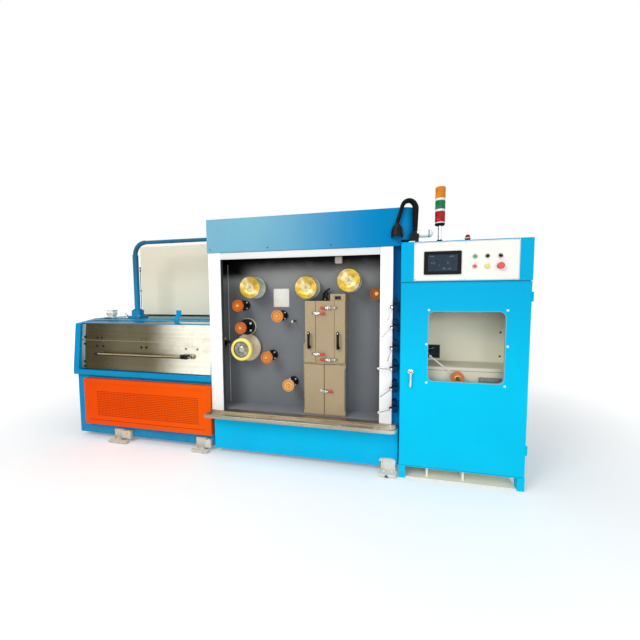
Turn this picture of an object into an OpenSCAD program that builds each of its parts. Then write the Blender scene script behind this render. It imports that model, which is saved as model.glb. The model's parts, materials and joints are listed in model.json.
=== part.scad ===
// Wire drawing line: drawing bath, annealing cabinet and spooler cabinet in one row.
// Millimetres. +X along the row to the viewer's right, fronts face -Y, +Z up, floor at z = 0.
// The origin is the centre of the footprint on the floor.

/* [View] */
// sub-part to draw

/* [Row] */
// length of the drawing section
draw_l = 1466; // [1250:2:1700]
// width of the annealing cabinet's white frame
main_l = 1502; // [1460:2:1600]
// width of the recessed strip that carries the valves
strip_w = 55; // [54:1:90]
// width of the spooler cabinet
spool_w = 836; // [800:2:1000]
// depth from the white frame's face to the back of the row
body_d = 1185; // [1150:5:1400]
// how far the drip tray stands out in front of the white frame
tray_out = 125; // [110:5:140]
// clear height under the casings
floor_gap = 45; // [40:1:70]

/* [Drawing section] */
// height of the lower casing
base_h = 569; // [560:1:640]
// depth of the drawing section
draw_d = 660; // [620:5:690]
// set-back of the lower casing behind the white frame's face
base_set = 30; // [24:1:36]
// height of the rail above the lower casing
rail_h = 46; // [36:1:60]
// height from the rail to the rear deck
bath_h = 473; // [460:1:560]
// depth of the bath from the rail's face to the deck
bath_d = 260; // [240:5:300]
// width of the left end post
post_w = 60; // [40:1:80]
// how far the end posts lean back at the top
post_lean = 45; // [30:1:60]
// rise of the lid from its front edge to the deck
lid_rise = 38; // [25:1:50]
// thickness of the hood's sheet
hood_t = 4; // [3:0.5:6]
// set-back of the hood's sheet behind the end posts
hood_set = 27; // [20:1:32]
// length of the orange guard
guard_l = 1330; // [1100:5:1330]
// height of the orange guard
guard_h = 433; // [380:1:450]
// thickness of the orange guard
guard_t = 48; // [40:1:52]
// height of the guard's lower edge above the floor
guard_z = 150; // [145:1:160]
// length of the hood's handle rod
rod_l = 898; // [700:2:1000]
// radius of the hood's handle rod
rod_r = 9; // [7:0.5:12]
// radius of the upright conduit
pipe_r = 26; // [22:1:30]
// radius of the level conduit
pipe_lr = 18; // [14:1:20]
// height of the level conduit's centre line
pipe_z = 1882; // [1860:1:1900]
// distance of the upright conduit from the left end
pipe_set = 449; // [420:1:480]
// bend radius of the conduit
bend_r = 120; // [100:1:140]
// height of the rear cabinet
rear_h = 1917; // [1890:1:1950]
// set-back of the rear cabinet's left side
rear_set = 137; // [110:1:160]
// gap between the drawing section and the rear cabinet
rear_gap = 50; // [40:1:60]
// thickness of the rear cabinet's doors
rear_t = 12; // [10:1:16]

/* [Annealing cabinet] */
// height of the top of the header
head_top = 1972; // [1930:1:2050]
// height of the header's lower edge
head_z = 1702; // [1695:1:1720]
// how far the header reaches over the spooler cabinet
head_over = 107; // [70:1:125]
// gap between the spooler's roof and the header over it
roof_gap = 27; // [20:1:30]
// radius of the header's rounded right corner
head_r = 100; // [60:1:110]
// depth of the main cabinet
main_d = 1000; // [900:5:1050]
// height of the drip tray's upper edge
tray_z = 377; // [350:1:380]
// height of the drip tray's rim
tray_h = 25; // [18:1:32]
// radius of the drip tray's right corner
tray_r = 60; // [40:1:70]
// thickness of the white frame
frame_t = 50; // [45:1:55]
// width of the white frame's left post
post_l = 109; // [90:1:120]
// width of the white frame's right post
post_r = 93; // [85:1:100]
// width of the white frame's top bar
post_t = 56; // [40:1:64]
// depth of the cavity behind the frame's face
cav_d = 240; // [230:1:280]
// thickness of the grey back plate
plate_t = 15; // [10:1:20]

/* [Rotors] */
// radius of the capstans
cap_r = 91; // [80:1:96]
// width of the capstans
cap_w = 130; // [110:1:134]
// radius of the guide pulleys
pul_r = 50; // [42:1:54]
// width of the guide pulleys
pul_w = 22; // [18:1:26]
// radius of the large wheel
wheel_r = 101; // [90:1:105]
// radius of the rotor shafts
shaft_r = 9; // [7:0.5:11]
// running clearance of the shafts
shaft_gap = 0.08; // [0.05:0.01:0.1]

/* [Annealer] */
// width of the annealer box
ann_w = 333; // [310:1:340]
// depth of the annealer box without its doors
ann_d = 166; // [150:1:170]
// height of the annealer box above the tray
ann_h = 928; // [880:1:950]
// height of the joint above the lower doors, from the tray
ann_split = 435; // [400:1:450]
// extra height of the raised right part
ann_up = 55; // [40:1:65]
// thickness of the annealer doors
ann_t = 12; // [8:1:14]
// depth of the space behind the annealer doors
ann_cav = 140; // [100:5:145]
// width of the annealer's rim round its doors
ann_rim = 15; // [12:1:18]
// set-in of the upper box's left side
ann_in = 9; // [6:1:12]
// width of the narrow cover on the left
ann_cov = 85; // [75:1:90]
// width of the middle cover
ann_mid = 150; // [130:1:154]
// left edge of the raised part
ann_rise = 213; // [205:1:225]
// width of the exit slot
slot_w = 46; // [36:1:50]
// height of the exit slot
slot_h = 24; // [20:1:26]
// radius of the bow handles
bow_r = 7; // [5:0.5:8]
// length of the bow handles
bow_l = 136; // [120:1:150]

/* [Valves] */
// length of a valve lever
lever_l = 98; // [85:1:100]
// width of a valve lever
lever_w = 12; // [8:1:14]
// spacing of the valves
valve_p = 150; // [146:1:154]
// height of the top valve's pivot
valve_z = 1261; // [1240:1:1290]

/* [Spooler] */
// height of the spooler cabinet
spool_h = 1717; // [1700:1:1735]
// depth of the spooler cabinet
spool_d = 900; // [850:5:1000]
// how far the spooler stands in front of the white frame
spool_out = 50; // [40:1:60]
// height of the spooler's legs
leg_h = 97; // [80:1:110]
// width of the spooler's legs
leg_w = 46; // [40:1:55]
// depth of the spooler's legs
leg_d = 60; // [50:1:70]
// wall thickness of the spooler cabinet
wall = 25; // [20:1:30]
// height of the fixed fascia above the door
fascia_h = 278; // [270:1:290]
// thickness of the door
door_t = 24; // [20:1:28]
// gap round the door
door_gap = 5; // [4:0.5:6]
// width of the door's window
win_w = 498; // [420:2:560]
// height of the door's window
win_h = 497; // [420:2:540]
// radius of the window's corners
win_r = 40; // [20:1:60]
// height of the window's lower edge
win_z = 735; // [700:1:760]
// left edge of the window from the cabinet's left side
win_x = 190; // [150:1:230]
// radius of the hinge knuckles
knuckle_r = 7; // [5:0.5:8]
// distance of the upper hinge from the door's top
knuckle_in = 135; // [120:1:160]
// height of the operator plate
plate_h = 264; // [250:1:270]
// width of the operator plate
plate_w = 666; // [640:1:700]
// width of the touch panel
hmi_w = 243; // [220:1:260]
// height of the touch panel
hmi_h = 159; // [140:1:170]
// radius of the push-buttons
button_r = 17; // [14:1:18]
// height of the ledge inside the spooler
ledge_z = 820; // [790:1:850]
// depth of the ledge inside the spooler
ledge_d = 260; // [220:5:280]
// radius of the pulley inside the spooler
inner_r = 48; // [40:1:52]
// radius of the light tower
tower_r = 34; // [28:1:38]
// height of one lens of the light tower
lens_h = 62; // [50:1:70]

/* [Hidden] */
hinge_out = 11;
row_l = draw_l + main_l + strip_w + spool_w;
depth = tray_out + body_d;
x_draw = -(row_l + hinge_out) / 2;
x_main = x_draw + draw_l;
x_strip = x_main + main_l;
x_spool = x_strip + strip_w;
x_end = x_spool + spool_w;
y_main = -depth / 2 + tray_out;
y_back = depth / 2;
seam = 5;
join = 0.3;

// drawing section levels and faces
z_rail = floor_gap + base_h;
z_bath = z_rail + rail_h;
z_deck = z_bath + bath_h;
z_lid = z_deck - lid_rise;
y_base = y_main + base_set;
y_deck = y_main + bath_d;
y_draw = y_base + draw_d;
y_guard = y_base - guard_t;
x_hood = x_draw + post_w + seam;
x_hood_r = x_main - 13;
hood_z = z_bath + 8;
fold_z = z_bath + 279;
y_hood = y_main + hood_set;
y_fold = y_hood + 18;
y_lid = y_main + post_lean + 18;
hinge_y = y_deck - 12;
hinge_z = z_deck + 3;
pipe_x = x_draw + pipe_set;
pipe_y = y_deck + 70;
flange_h = 22;
strap_w = 60;
strap_x = [x_hood + 60, x_hood_r - 120];
rod_z = z_bath + 161;
rod_x = x_draw + 277;
y_rod = y_hood - 45;

// annealing cabinet faces
y_plate = y_main + cav_d;
cav_x0 = x_main + 44;
cav_x1 = x_strip - 30;
strip_y = y_main + frame_t;
head_x1 = x_spool + head_over;
head_lift = max(head_z, spool_h + roof_gap);
rear_x0 = x_draw + rear_set;
rear_x1 = x_main - 2 * seam;
foot_x = [x_draw + 470, x_main - 128, x_strip - 24];
foot_w = 104;
foot_t = 14;
foot_up = 62;
head_lap = 6;
cav_top = head_z - 12;
cav_low = tray_z - 8;

// rotors: place along the cabinet and height
caps = [[338, 1418], [822, 1413], [1166, 1465]];
puls = [[215, 1265], [569, 1179], [237, 1075], [471, 830], [660, 602], [1380, 1360]];
wheel = [242, 891];
cap_in = 60;
pul_in = 90;
y_cap = y_main + cap_in;
y_pul = y_main + pul_in;
block_d = 75;
boss_d = 42;
shaft_in = 25;
flange_r = wheel_r + 12;
big_r = norm([puls[2][0] - wheel[0], puls[2][1] - wheel[1]]) - flange_r - 1;
shaft_end = cav_d - pul_in - block_d + shaft_in;
cap_end = cav_d - cap_in - boss_d + shaft_in;
label_x = x_main + 482;
label_z = 1252;
side_z = 912;

// annealer faces
ann_x = x_main + 806;
y_ann = y_plate - ann_d;
ann_z0 = tray_z + 14;
ann_z1 = tray_z + ann_split - 16;
ann_x1 = ann_x + ann_w;
ann_face = y_ann - ann_t;
ann_ear = 8;
pin_r = 2;
barrel_r = 4;
barrel_h = 30;
bow_z = tray_z + 548;
clamp_z = [tray_z + 874, tray_z + 831, tray_z + 506, tray_z + 462];

// valves
valve_x = x_strip + 22;
pivot_x = x_strip - 6;
lever_y = y_main - 62;
rest = [16, 45, 16, 90, 52, 72];

// spooler faces
y_spool = y_main - spool_out;
y_shell = y_spool + door_t + door_gap;
door_z0 = leg_h + 3;
door_z1 = spool_h - fascia_h - 4;
door_x0 = x_spool + 3;
door_x1 = x_end - 3;
pin_x = x_end + 4;
pin_y = y_spool + 8;
ledge_y = y_shell + 75;
inner_back = ledge_y + ledge_d;
knuckle_z = [door_z0 + 155, door_z1 - knuckle_in];
knuckle_h = 40;
plate_x = x_spool + 88;
plate_z = spool_h - 7 - plate_h;
hmi_x = plate_x + 65;
hmi_z = plate_z + 41;
handle_x = x_spool + 74;
handle_z = 797;
inner_x = x_spool + 403;
inner_z = 751;
arm_x = x_spool + 218;
arm_z = 898;
arm_dir = [arm_x - inner_x, 0, arm_z - inner_z] / norm([arm_x - inner_x, arm_z - inner_z]);
lamp_x = x_spool + 84;
lamp_y = y_spool + 40;
arch_r = 62;
arch_turn = 24;
arch_z = spool_h + 238;
bell_h = 104;
bell_z = spool_h + 49;
neck_r = 14;
tower_x = x_spool + 263;
tower_y = y_spool + 80;

$fn = 64;

// box from its low corner to its high corner
module bx(x0, x1, y0, y1, z0, z1) {
    translate([x0, y0, z0]) cube([x1 - x0, y1 - y0, z1 - z0]);
}

// round bar along Y
module bar_y(x, y0, y1, z, r) {
    translate([x, y1, z]) rotate([90, 0, 0]) cylinder(h = y1 - y0, r = r);
}

// round bar along X
module bar_x(x0, x1, y, z, r) {
    translate([x0, y, z]) rotate([0, 90, 0]) cylinder(h = x1 - x0, r = r);
}

// round bar between two points
module rod(p, q, r) {
    d = q - p;
    n = norm(d);
    translate(p) rotate([0, acos(d[2] / n), atan2(d[1], d[0])]) cylinder(h = n, r = r);
}

// rounded plate in the X-Z plane
module plate_xz(x0, x1, z0, z1, r, y0, y1) {
    translate([0, y1, 0]) rotate([90, 0, 0]) linear_extrude(y1 - y0) round_rect(x0, x1, z0, z1, r);
}

module round_rect(x0, x1, z0, z1, r) {
    translate([x0 + r, z0]) square([x1 - x0 - 2 * r, z1 - z0]);
    translate([x0, z0 + r]) square([x1 - x0, z1 - z0 - 2 * r]);
    for (x = [x0 + r, x1 - r], z = [z0 + r, z1 - r]) translate([x, z]) circle(r);
}

// solid with a Y-Z outline, from x0 to x1
module prism_x(x0, x1, pts) {
    translate([x0, 0, 0]) rotate([90, 0, 90]) linear_extrude(x1 - x0) polygon(pts);
}

// drawing section: lower casing, rail, end posts and rear deck
module draw_casing() {
    color([0.03, 0.5, 0.75]) {
        difference() {
            bx(x_draw + 16, x_main - 5, y_base, y_draw, floor_gap, z_rail);
            for (k = [0, 1]) foot_notch(foot_x[k], y_base);
        }
        bx(x_draw, x_main - 3, y_main, y_deck, z_rail, z_bath);
        end_plate(x_draw, post_w);
        end_plate(x_main - 9, 6);
        bx(x_draw, x_main - 3, y_deck, y_draw, z_rail, z_deck);
        for (x = strap_x) {
            bar_x(x - 4, x + strap_w + 4, hinge_y, hinge_z, 3);
            for (e = [x - 9, x + strap_w + 1]) {
                bx(e, e + 8, hinge_y - 5, y_deck + 8, hinge_z - 6, hinge_z + 5);
            }
        }
    }
}

module end_plate(x, w) {
    prism_x(x, x + w, [[y_main, z_bath], [y_main + post_lean, z_lid], [y_deck, z_deck],
        [y_deck, z_bath]]);
}

// recess in a casing's lower front edge round a foot
module foot_notch(x, y) {
    bx(x - foot_w / 2 - 8, x + foot_w / 2 + 8, y - 10, y + 96, floor_gap - 1, floor_gap + foot_up);
}

// orange guard in front of the lower casing, with a pressed panel
module draw_guard() {
    color([0.95, 0.33, 0.05]) difference() {
        bx(x_main - guard_l - 3, x_main - 3, y_guard, y_base, guard_z, guard_z + guard_h);
        bx(x_main - guard_l + 37, x_main - 43, y_guard - 1, y_guard + 4, guard_z + 42,
            guard_z + guard_h - 36);
    }
}

// steel hood: leaning front and sloping lid in one folded sheet
module hood_cover() {
    color([0.62, 0.6, 0.56]) {
        prism_x(x_hood, x_hood_r, [[y_hood, hood_z], [y_fold, fold_z], [y_lid, z_lid],
            [hinge_y - 6, z_deck - 4], [hinge_y - 6, z_deck - 4 - hood_t],
            [y_lid + hood_t, z_lid - hood_t], [y_fold + hood_t, fold_z], [y_hood + hood_t, hood_z]]);
        for (x = strap_x) hood_strap(x);
    }
}

// strap from the lid to the hinge barrel
module hood_strap(x) {
    difference() {
        union() {
            bar_x(x, x + strap_w, hinge_y, hinge_z, 6);
            bx(x, x + strap_w, hinge_y - 16, hinge_y, hinge_z - 10, hinge_z - 1);
        }
        bar_x(x - 1, x + strap_w + 1, hinge_y, hinge_z, 3 + shaft_gap);
    }
}

// blue border bars on the lid and the curved tab on its front edge
module hood_frame() {
    color([0.03, 0.5, 0.75]) {
        lid_bar(x_hood + 2, x_hood_r - 2, 0.02, 0.16);
        lid_bar(x_hood + 2, x_hood_r - 2, 0.62, 0.9);
        translate([x_draw + 1095, 0, 0]) rotate([90, 0, 90]) linear_extrude(48) difference() {
            translate([y_lid + 8, z_lid + 44]) circle(42);
            translate([y_lid + 8, z_lid + 44]) circle(36);
            translate([y_lid + 8, z_lid - 10]) square([60, 110]);
            translate([y_lid - 50, z_lid - 60]) square([60, 60]);
        }
        bx(x_draw + 1095, x_draw + 1143, y_lid + 2, y_lid + 8, z_lid + 80, z_lid + 130);
    }
}

// bar lying on the lid between two fractions of its depth
module lid_bar(x0, x1, f0, f1) {
    run = hinge_y - 6 - y_lid;
    rise = z_deck - 4 - z_lid;
    prism_x(x0, x1, [[y_lid + f0 * run, z_lid + f0 * rise], [y_lid + f0 * run, z_lid + f0 * rise + 5],
        [y_lid + f1 * run, z_lid + f1 * rise + 5], [y_lid + f1 * run, z_lid + f1 * rise]]);
}

// handle rod with two stand-offs and a round lock boss
module hood_handle() {
    color([0.75, 0.74, 0.72]) {
        bar_x(rod_x, rod_x + rod_l, y_rod, rod_z, rod_r);
        for (x = [rod_x + 30, rod_x + rod_l - 22]) {
            bar_y(x, y_rod, hood_face(rod_z - rod_r), rod_z, rod_r - 1);
        }
        bx(rod_x + rod_l, rod_x + rod_l + 62, y_rod + 8, hood_face(rod_z - 20), rod_z - 20, rod_z + 20);
        bar_y(rod_x + rod_l + 112, y_rod + 12, hood_face(rod_z - 24), rod_z, 24);
    }
}

// just in front of the hood's sheet at a height
function hood_face(z) = y_hood + (z - hood_z) / (fold_z - hood_z) * (y_fold - y_hood) - 0.2;

// conduit from the rear deck up and across into the header
module conduit_pipe() {
    z_collar = z_deck + flange_h;
    color([0.03, 0.42, 0.62]) {
        bx(pipe_x - 70, pipe_x + 70, pipe_y - 60, pipe_y + 60, z_deck, z_collar);
        translate([pipe_x, pipe_y, z_collar]) cylinder(h = 60, r = pipe_r + 30);
        translate([pipe_x, pipe_y, z_collar + 18])
            cylinder(h = pipe_z - bend_r - z_collar - 18, r = pipe_r);
        translate([pipe_x + bend_r, pipe_y, pipe_z - bend_r]) rotate([90, 0, 0])
            rotate([0, 0, 90]) rotate_extrude(angle = 90) translate([bend_r, 0]) circle(pipe_lr + 3);
        bar_x(pipe_x + bend_r, x_main - 6, pipe_y, pipe_z, pipe_lr);
    }
}

// small white box on a dark bar
module junction_box() {
    color([0.82, 0.81, 0.78]) {
        bx(x_draw + 70, x_draw + 170, y_deck + 10, y_deck + 70, z_deck + flange_h, z_deck + flange_h + 56);
        bx(x_draw + 100, x_draw + 230, y_deck + 12, y_deck + 60, z_deck, z_deck + flange_h);
    }
}

// cream electrical cabinet behind the drawing section
module rear_cabinet() {
    color([0.85, 0.83, 0.76]) {
        bx(rear_x0, rear_x1, y_draw + rear_gap, y_back - rear_t, floor_gap + 15, rear_h);
        bx(rear_x0 + 13, rear_x1 - 13, y_back - rear_t, y_back, floor_gap + 60, rear_h - 37);
    }
}

// dark plinth under the rear cabinet and the dark strip on the deck's rear edge
module rear_plinth() {
    color([0.04, 0.04, 0.05]) {
        bx(rear_x0 + 20, rear_x1 - 20, y_draw + rear_gap + 20, y_back - 32, 0, floor_gap + 15);
        bx(rear_x0, rear_x1, y_draw, y_draw + rear_gap, z_deck - 14, z_deck + 4);
    }
}

// levelling feet: stacked plates with an upright in the casing's notch
module floor_feet() {
    color([0.72, 0.71, 0.68]) {
        floor_foot(foot_x[0], y_base);
        floor_foot(foot_x[1], y_base);
        floor_foot(foot_x[2], y_main);
        for (x = [x_draw + 200, x_main - 120]) rear_foot(x, y_draw - 110);
        for (x = [x_main + 120, x_strip - 60]) rear_foot(x, y_main + main_d - 110);
    }
}

module floor_foot(x, y) {
    w = foot_w / 2;
    bx(x - w, x + w, y - 80, y + 100, 0, foot_t);
    bx(x - w + 4, x + w - 4, y - 66, y + 92, foot_t, 2 * foot_t);
    bx(x - w, x + w, y - 8, y + 84, 2 * foot_t, floor_gap + foot_up);
}

module rear_foot(x, y) {
    w = foot_w / 2;
    bx(x - w, x + w, y - 70, y + 70, 0, foot_t);
    bx(x - w + 8, x + w - 8, y - 55, y + 55, foot_t, floor_gap);
}

// annealing cabinet: closed housing behind the cavity's back plate
module main_casing() {
    color([0.03, 0.55, 0.82]) {
        bx(x_main, x_spool - join, y_plate + plate_t, y_main + main_d, floor_gap, head_z);
    }
}

// walls, floor and ceiling round the cavity
module cavity_surround() {
    color([0.03, 0.55, 0.82]) difference() {
        bx(x_main, x_spool - join, strip_y, y_plate + plate_t, floor_gap, head_z);
        bx(cav_x0, cav_x1, strip_y - 1, y_plate + plate_t + 1, cav_low, cav_top);
        foot_notch(foot_x[2], y_main);
    }
}

// front panel under the drip tray
module front_skirt() {
    color([0.03, 0.55, 0.82]) difference() {
        bx(x_main + 20, x_spool - 8, y_main, strip_y, floor_gap, tray_z - tray_h);
        foot_notch(foot_x[2], y_main);
    }
}

// header over the cavity, reaching over the spooler with a rounded corner
module top_header() {
    x0 = x_main - head_lap;
    y0 = y_main - head_lap;
    color([0.03, 0.52, 0.8]) {
        if (head_lift > head_z) bx(x0, x_spool - seam, y0, y_main + main_d, head_z, head_lift);
        translate([0, 0, head_lift]) linear_extrude(head_top - head_lift) {
            translate([x0, y0]) square([head_x1 - head_r - x0, main_d + head_lap]);
            translate([x0, y0 + head_r]) square([head_x1 - x0, main_d + head_lap - head_r]);
            translate([head_x1 - head_r, y0 + head_r]) circle(head_r);
        }
    }
}

// white frame round the cavity
module window_frame() {
    color([0.93, 0.93, 0.92]) difference() {
        plate_xz(x_main, x_strip, tray_z, head_z, 14, y_main, strip_y);
        bx(x_main + post_l, x_strip - post_r, y_main - 1, strip_y + 1, tray_z - 1, head_z - post_t);
    }
}

// grey plate behind the rotors, and the cavity's floor
module back_plate() {
    color([0.33, 0.35, 0.38]) {
        bx(cav_x0, cav_x1, y_plate, y_plate + plate_t, cav_low, cav_top);
        bx(cav_x0, cav_x1, strip_y, y_plate, cav_low, tray_z - 1);
    }
}

// stainless drip tray with a raised rim and a rounded right corner
module drip_tray() {
    color([0.6, 0.58, 0.54]) difference() {
        tray_plan(0, tray_z - tray_h, tray_z);
        tray_plan(5, tray_z - tray_h + 6, tray_z + 1);
    }
}

module tray_plan(inset, z0, z1) {
    x0 = x_main + inset;
    x1 = x_spool - 14 - inset;
    y0 = y_main - tray_out + inset;
    y1 = inset > 0 ? y_main - 12 : strip_y;
    r = tray_r - inset;
    translate([0, 0, z0]) linear_extrude(z1 - z0) {
        translate([x0, y0]) square([x1 - r - x0, y1 - y0]);
        translate([x0, y0 + r]) square([x1 - x0, y1 - y0 - r]);
        translate([x1 - r, y0 + r]) circle(r);
    }
}

// tan annealer box with the raised right part and its slot
module annealer_body() {
    z0 = tray_z - 1;
    z1 = tray_z + ann_split;
    z2 = tray_z + ann_h;
    x_in = ann_x + ann_in;
    x_mid = x_in + ann_cov + 3;
    slot_x = ann_x1 - ann_rim - 21 - slot_w;
    color([0.72, 0.62, 0.5]) {
        difference() {
            bx(ann_x, ann_x1, y_ann, y_plate, z0, z1);
            bx(ann_x + ann_rim, ann_x1 - ann_rim, y_ann - 1, y_ann + ann_cav, z0 + 18, z1 - 14);
        }
        bx(x_in, ann_x1, y_ann, y_plate, z1, z2);
        bx(ann_x, x_in, y_ann, y_plate, z1, z1 + 154);
        difference() {
            bx(ann_x + ann_rise, ann_x1, y_ann, y_plate, z2, z2 + ann_up);
            bx(slot_x, slot_x + slot_w, y_ann - 1, y_ann + 30, z2 + 12, z2 + 12 + slot_h);
        }
        bx(x_in, x_in + ann_cov, ann_face, y_ann, z1 + 2, z2);
        bx(x_mid, x_mid + ann_mid, ann_face + 3, y_ann, z1 + 17, z2);
        bx(x_mid + ann_mid + 3, ann_x1, ann_face, y_ann, z1 + 2, z2);
        for (s = [-1, 1]) {
            e = s < 0 ? ann_x : ann_x1;
            for (z = [ann_z0 - 3 - ann_ear, ann_z1 + 3]) {
                translate([e + s, y_ann - 8, z]) cylinder(h = ann_ear, r = barrel_r);
                bx(min(e + s * 5, e - s * 3), max(e + s * 5, e - s * 3), y_ann - 8, y_ann, z, z + ann_ear);
            }
            translate([e + s, y_ann - 8, ann_z0 - 4]) cylinder(h = 24, r = pin_r);
            translate([e + s, y_ann - 8, ann_z1 - 20]) cylinder(h = 24, r = pin_r);
        }
    }
}

// annealer door: side is -1 for the left door and 1 for the right one
module ann_door(side) {
    edge = side < 0 ? ann_x : ann_x1;
    mid = ann_x + ann_w / 2 + side * 1.5;
    near = edge - side * 4;
    far = edge - side * 6;
    difference() {
        union() {
            bx(min(near, mid), max(near, mid), ann_face, y_ann - 2, ann_z0, ann_z1);
            for (z = [ann_z0, ann_z1 - barrel_h]) {
                translate([edge + side, y_ann - 8, z]) cylinder(h = barrel_h, r = barrel_r);
                bx(min(edge + side, far), max(edge + side, far), ann_face, y_ann - 6, z, z + barrel_h);
            }
        }
        for (z = [ann_z0 - 1, ann_z1 - barrel_h]) {
            translate([edge + side, y_ann - 8, z]) cylinder(h = barrel_h + 1, r = pin_r + shaft_gap);
        }
    }
}

module annealer_door_l() {
    color([0.7, 0.6, 0.48]) ann_door(-1);
}

module annealer_door_r() {
    color([0.7, 0.6, 0.48]) ann_door(1);
}

// black bow handles on the annealer's upper cover
module annealer_fittings() {
    color([0.05, 0.05, 0.05]) for (x = [ann_x + 46, ann_x1 - 52]) {
        for (z = [bow_z + 11, bow_z + bow_l - 11]) bar_y(x, ann_face - 32, ann_face, z, bow_r);
        bx(x - bow_r - 2, x + bow_r + 2, ann_face - 38, ann_face - 26, bow_z, bow_z + bow_l);
    }
}

// toggle clamps across the cover joints
module annealer_clamps() {
    color([0.75, 0.74, 0.72]) for (z = [clamp_z[0], clamp_z[3]]) toggle(ann_x + 158, z, 1);
    color([0.75, 0.74, 0.72]) for (z = [clamp_z[1], clamp_z[2]]) toggle(ann_x + 157, z, -1);
}

module toggle(x, z, s) {
    a = s > 0 ? x : x - 86;
    b = s > 0 ? x + 116 : x;
    bx(a, b, ann_face - 16, ann_face - 10, z - 7, z + 7);
    bx(s > 0 ? b - 46 : a, s > 0 ? b : a + 40, ann_face - 10, ann_face, z - 9, z + 9);
}

// fixed bosses and bearing housings on the back plate
module bearing_blocks() {
    color([0.07, 0.07, 0.08]) difference() {
        union() {
            for (c = caps) bar_y(x_main + c[0], y_plate - boss_d, y_plate, c[1], 34);
            for (p = puls) {
                bar_y(x_main + p[0], y_plate - block_d, y_plate, p[1], 30);
                plate_xz(x_main + p[0] - 42, x_main + p[0] + 42, p[1] - 42, p[1] + 42, 10,
                    y_plate - 30, y_plate);
            }
            bar_y(x_main + puls[2][0], y_plate - 40, y_plate, puls[2][1], big_r);
            bar_y(x_main + wheel[0], y_plate - block_d, y_plate - 38, wheel[1], 40);
        }
        for (c = caps) shaft_hole(c, boss_d);
        for (p = puls) shaft_hole(p, block_d);
        shaft_hole(wheel, block_d);
    }
}

module shaft_hole(c, d) {
    bar_y(x_main + c[0], y_plate - d - 1, y_plate - d + 30, c[1], shaft_r + shaft_gap);
}

// round flange that carries the large wheel
module wheel_flange() {
    color([0.5, 0.48, 0.43]) {
        bar_y(x_main + wheel[0], y_plate - 38, y_plate - 22, wheel[1], flange_r);
        bar_y(x_main + wheel[0], y_plate - 22, y_plate, wheel[1], 60);
    }
}

// capstan: ring face, drum and shaft
module capstan(c) {
    x = x_main + c[0];
    color([0.72, 0.55, 0.3]) translate([x, y_cap, c[1]]) rotate([-90, 0, 0]) {
        rotate_extrude() polygon([[0, 6], [30, 6], [30, 0], [34, 0], [34, 8], [cap_r - 20, 8],
            [cap_r - 20, 0], [cap_r, 0], [cap_r, 12], [cap_r - 7, 16], [cap_r - 7, cap_w - 12],
            [cap_r - 2, cap_w - 8], [cap_r - 2, cap_w], [shaft_r, cap_w], [shaft_r, cap_end],
            [0, cap_end]]);
    }
}

module capstan_1() {
    capstan(caps[0]);
}

module capstan_2() {
    capstan(caps[1]);
}

module capstan_3() {
    capstan(caps[2]);
}

// large wheel: pale ring, steel disc and shaft
module tension_wheel() {
    color([0.85, 0.75, 0.45]) translate([x_main + wheel[0], y_pul - 14, wheel[1]]) rotate([-90, 0, 0]) {
        rotate_extrude() polygon([[0, 2], [20, 2], [20, 6], [74, 6], [74, 0], [wheel_r - 6, 0],
            [wheel_r, 4], [wheel_r - 10, 12], [wheel_r, 20], [wheel_r - 4, 26], [shaft_r, 26],
            [shaft_r, shaft_end + 14], [0, shaft_end + 14]]);
    }
}

// guide pulley with a wire groove and its shaft
module pulley(c) {
    h = pul_w / 2;
    color([0.93, 0.5, 0.2]) translate([x_main + c[0], y_pul, c[1]]) rotate([-90, 0, 0]) {
        rotate_extrude() polygon([[0, -h - 3], [13, -h - 3], [13, -h + 5], [pul_r - 14, -h + 5],
            [pul_r - 10, -h], [pul_r, -h], [pul_r - 9, 0], [pul_r, h], [pul_r - 12, h], [shaft_r + 5, h],
            [shaft_r + 5, h + 6], [shaft_r, h + 6], [shaft_r, shaft_end],
            [0, shaft_end]]);
    }
}

module pulley_1() {
    pulley(puls[0]);
}

module pulley_2() {
    pulley(puls[1]);
}

module pulley_3() {
    pulley(puls[2]);
}

module pulley_4() {
    pulley(puls[3]);
}

module pulley_5() {
    pulley(puls[4]);
}

module pulley_6() {
    pulley(puls[5]);
}

// bare label plate and the short guide pin on the back plate
module cavity_plates() {
    color([0.9, 0.9, 0.9]) {
        bx(label_x, label_x + 142, y_plate - 3, y_plate, label_z, label_z + 158);
        bar_y(x_main + 680, y_plate - 50, y_plate, 1132, 20);
    }
}

// small brackets in the cavity: ceiling, left wall and above the annealer
module cavity_brackets() {
    roof_x = x_main + 1042;
    hook_x = ann_x + 125;
    hook_z = tray_z + ann_h + 1;
    color([0.06, 0.06, 0.06]) {
        bx(roof_x, roof_x + 58, y_plate - 90, y_plate - 84, cav_top - 84, cav_top);
        bx(roof_x, roof_x + 58, y_plate - 84, y_plate - 40, cav_top - 84, cav_top - 78);
        bx(cav_x0, cav_x0 + 70, y_main + 70, y_main + 110, side_z, side_z + 93);
        bx(hook_x, hook_x + 14, y_plate - 40, y_plate, hook_z, hook_z + 102);
        bx(hook_x + 14, hook_x + 62, y_plate - 40, y_plate - 28, hook_z + 74, hook_z + 102);
    }
}

// valve bodies on the recessed strip
module valve_bank() {
    color([0.05, 0.05, 0.06]) difference() {
        union() {
            for (i = [0:5]) {
                z = valve_z - i * valve_p;
                bar_y(valve_x, lever_y + 26, strip_y, z + 41, 17);
                bx(valve_x - 16, valve_x + 16, lever_y + 20, strip_y, z - 30, z + 16);
                bx(pivot_x - 12, valve_x, lever_y + 14, lever_y + 40, z - 12, z + 12);
            }
        }
        for (i = [0:5]) bar_y(pivot_x, lever_y + 13, lever_y + 34, valve_z - i * valve_p, 4 + shaft_gap);
    }
}

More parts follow.
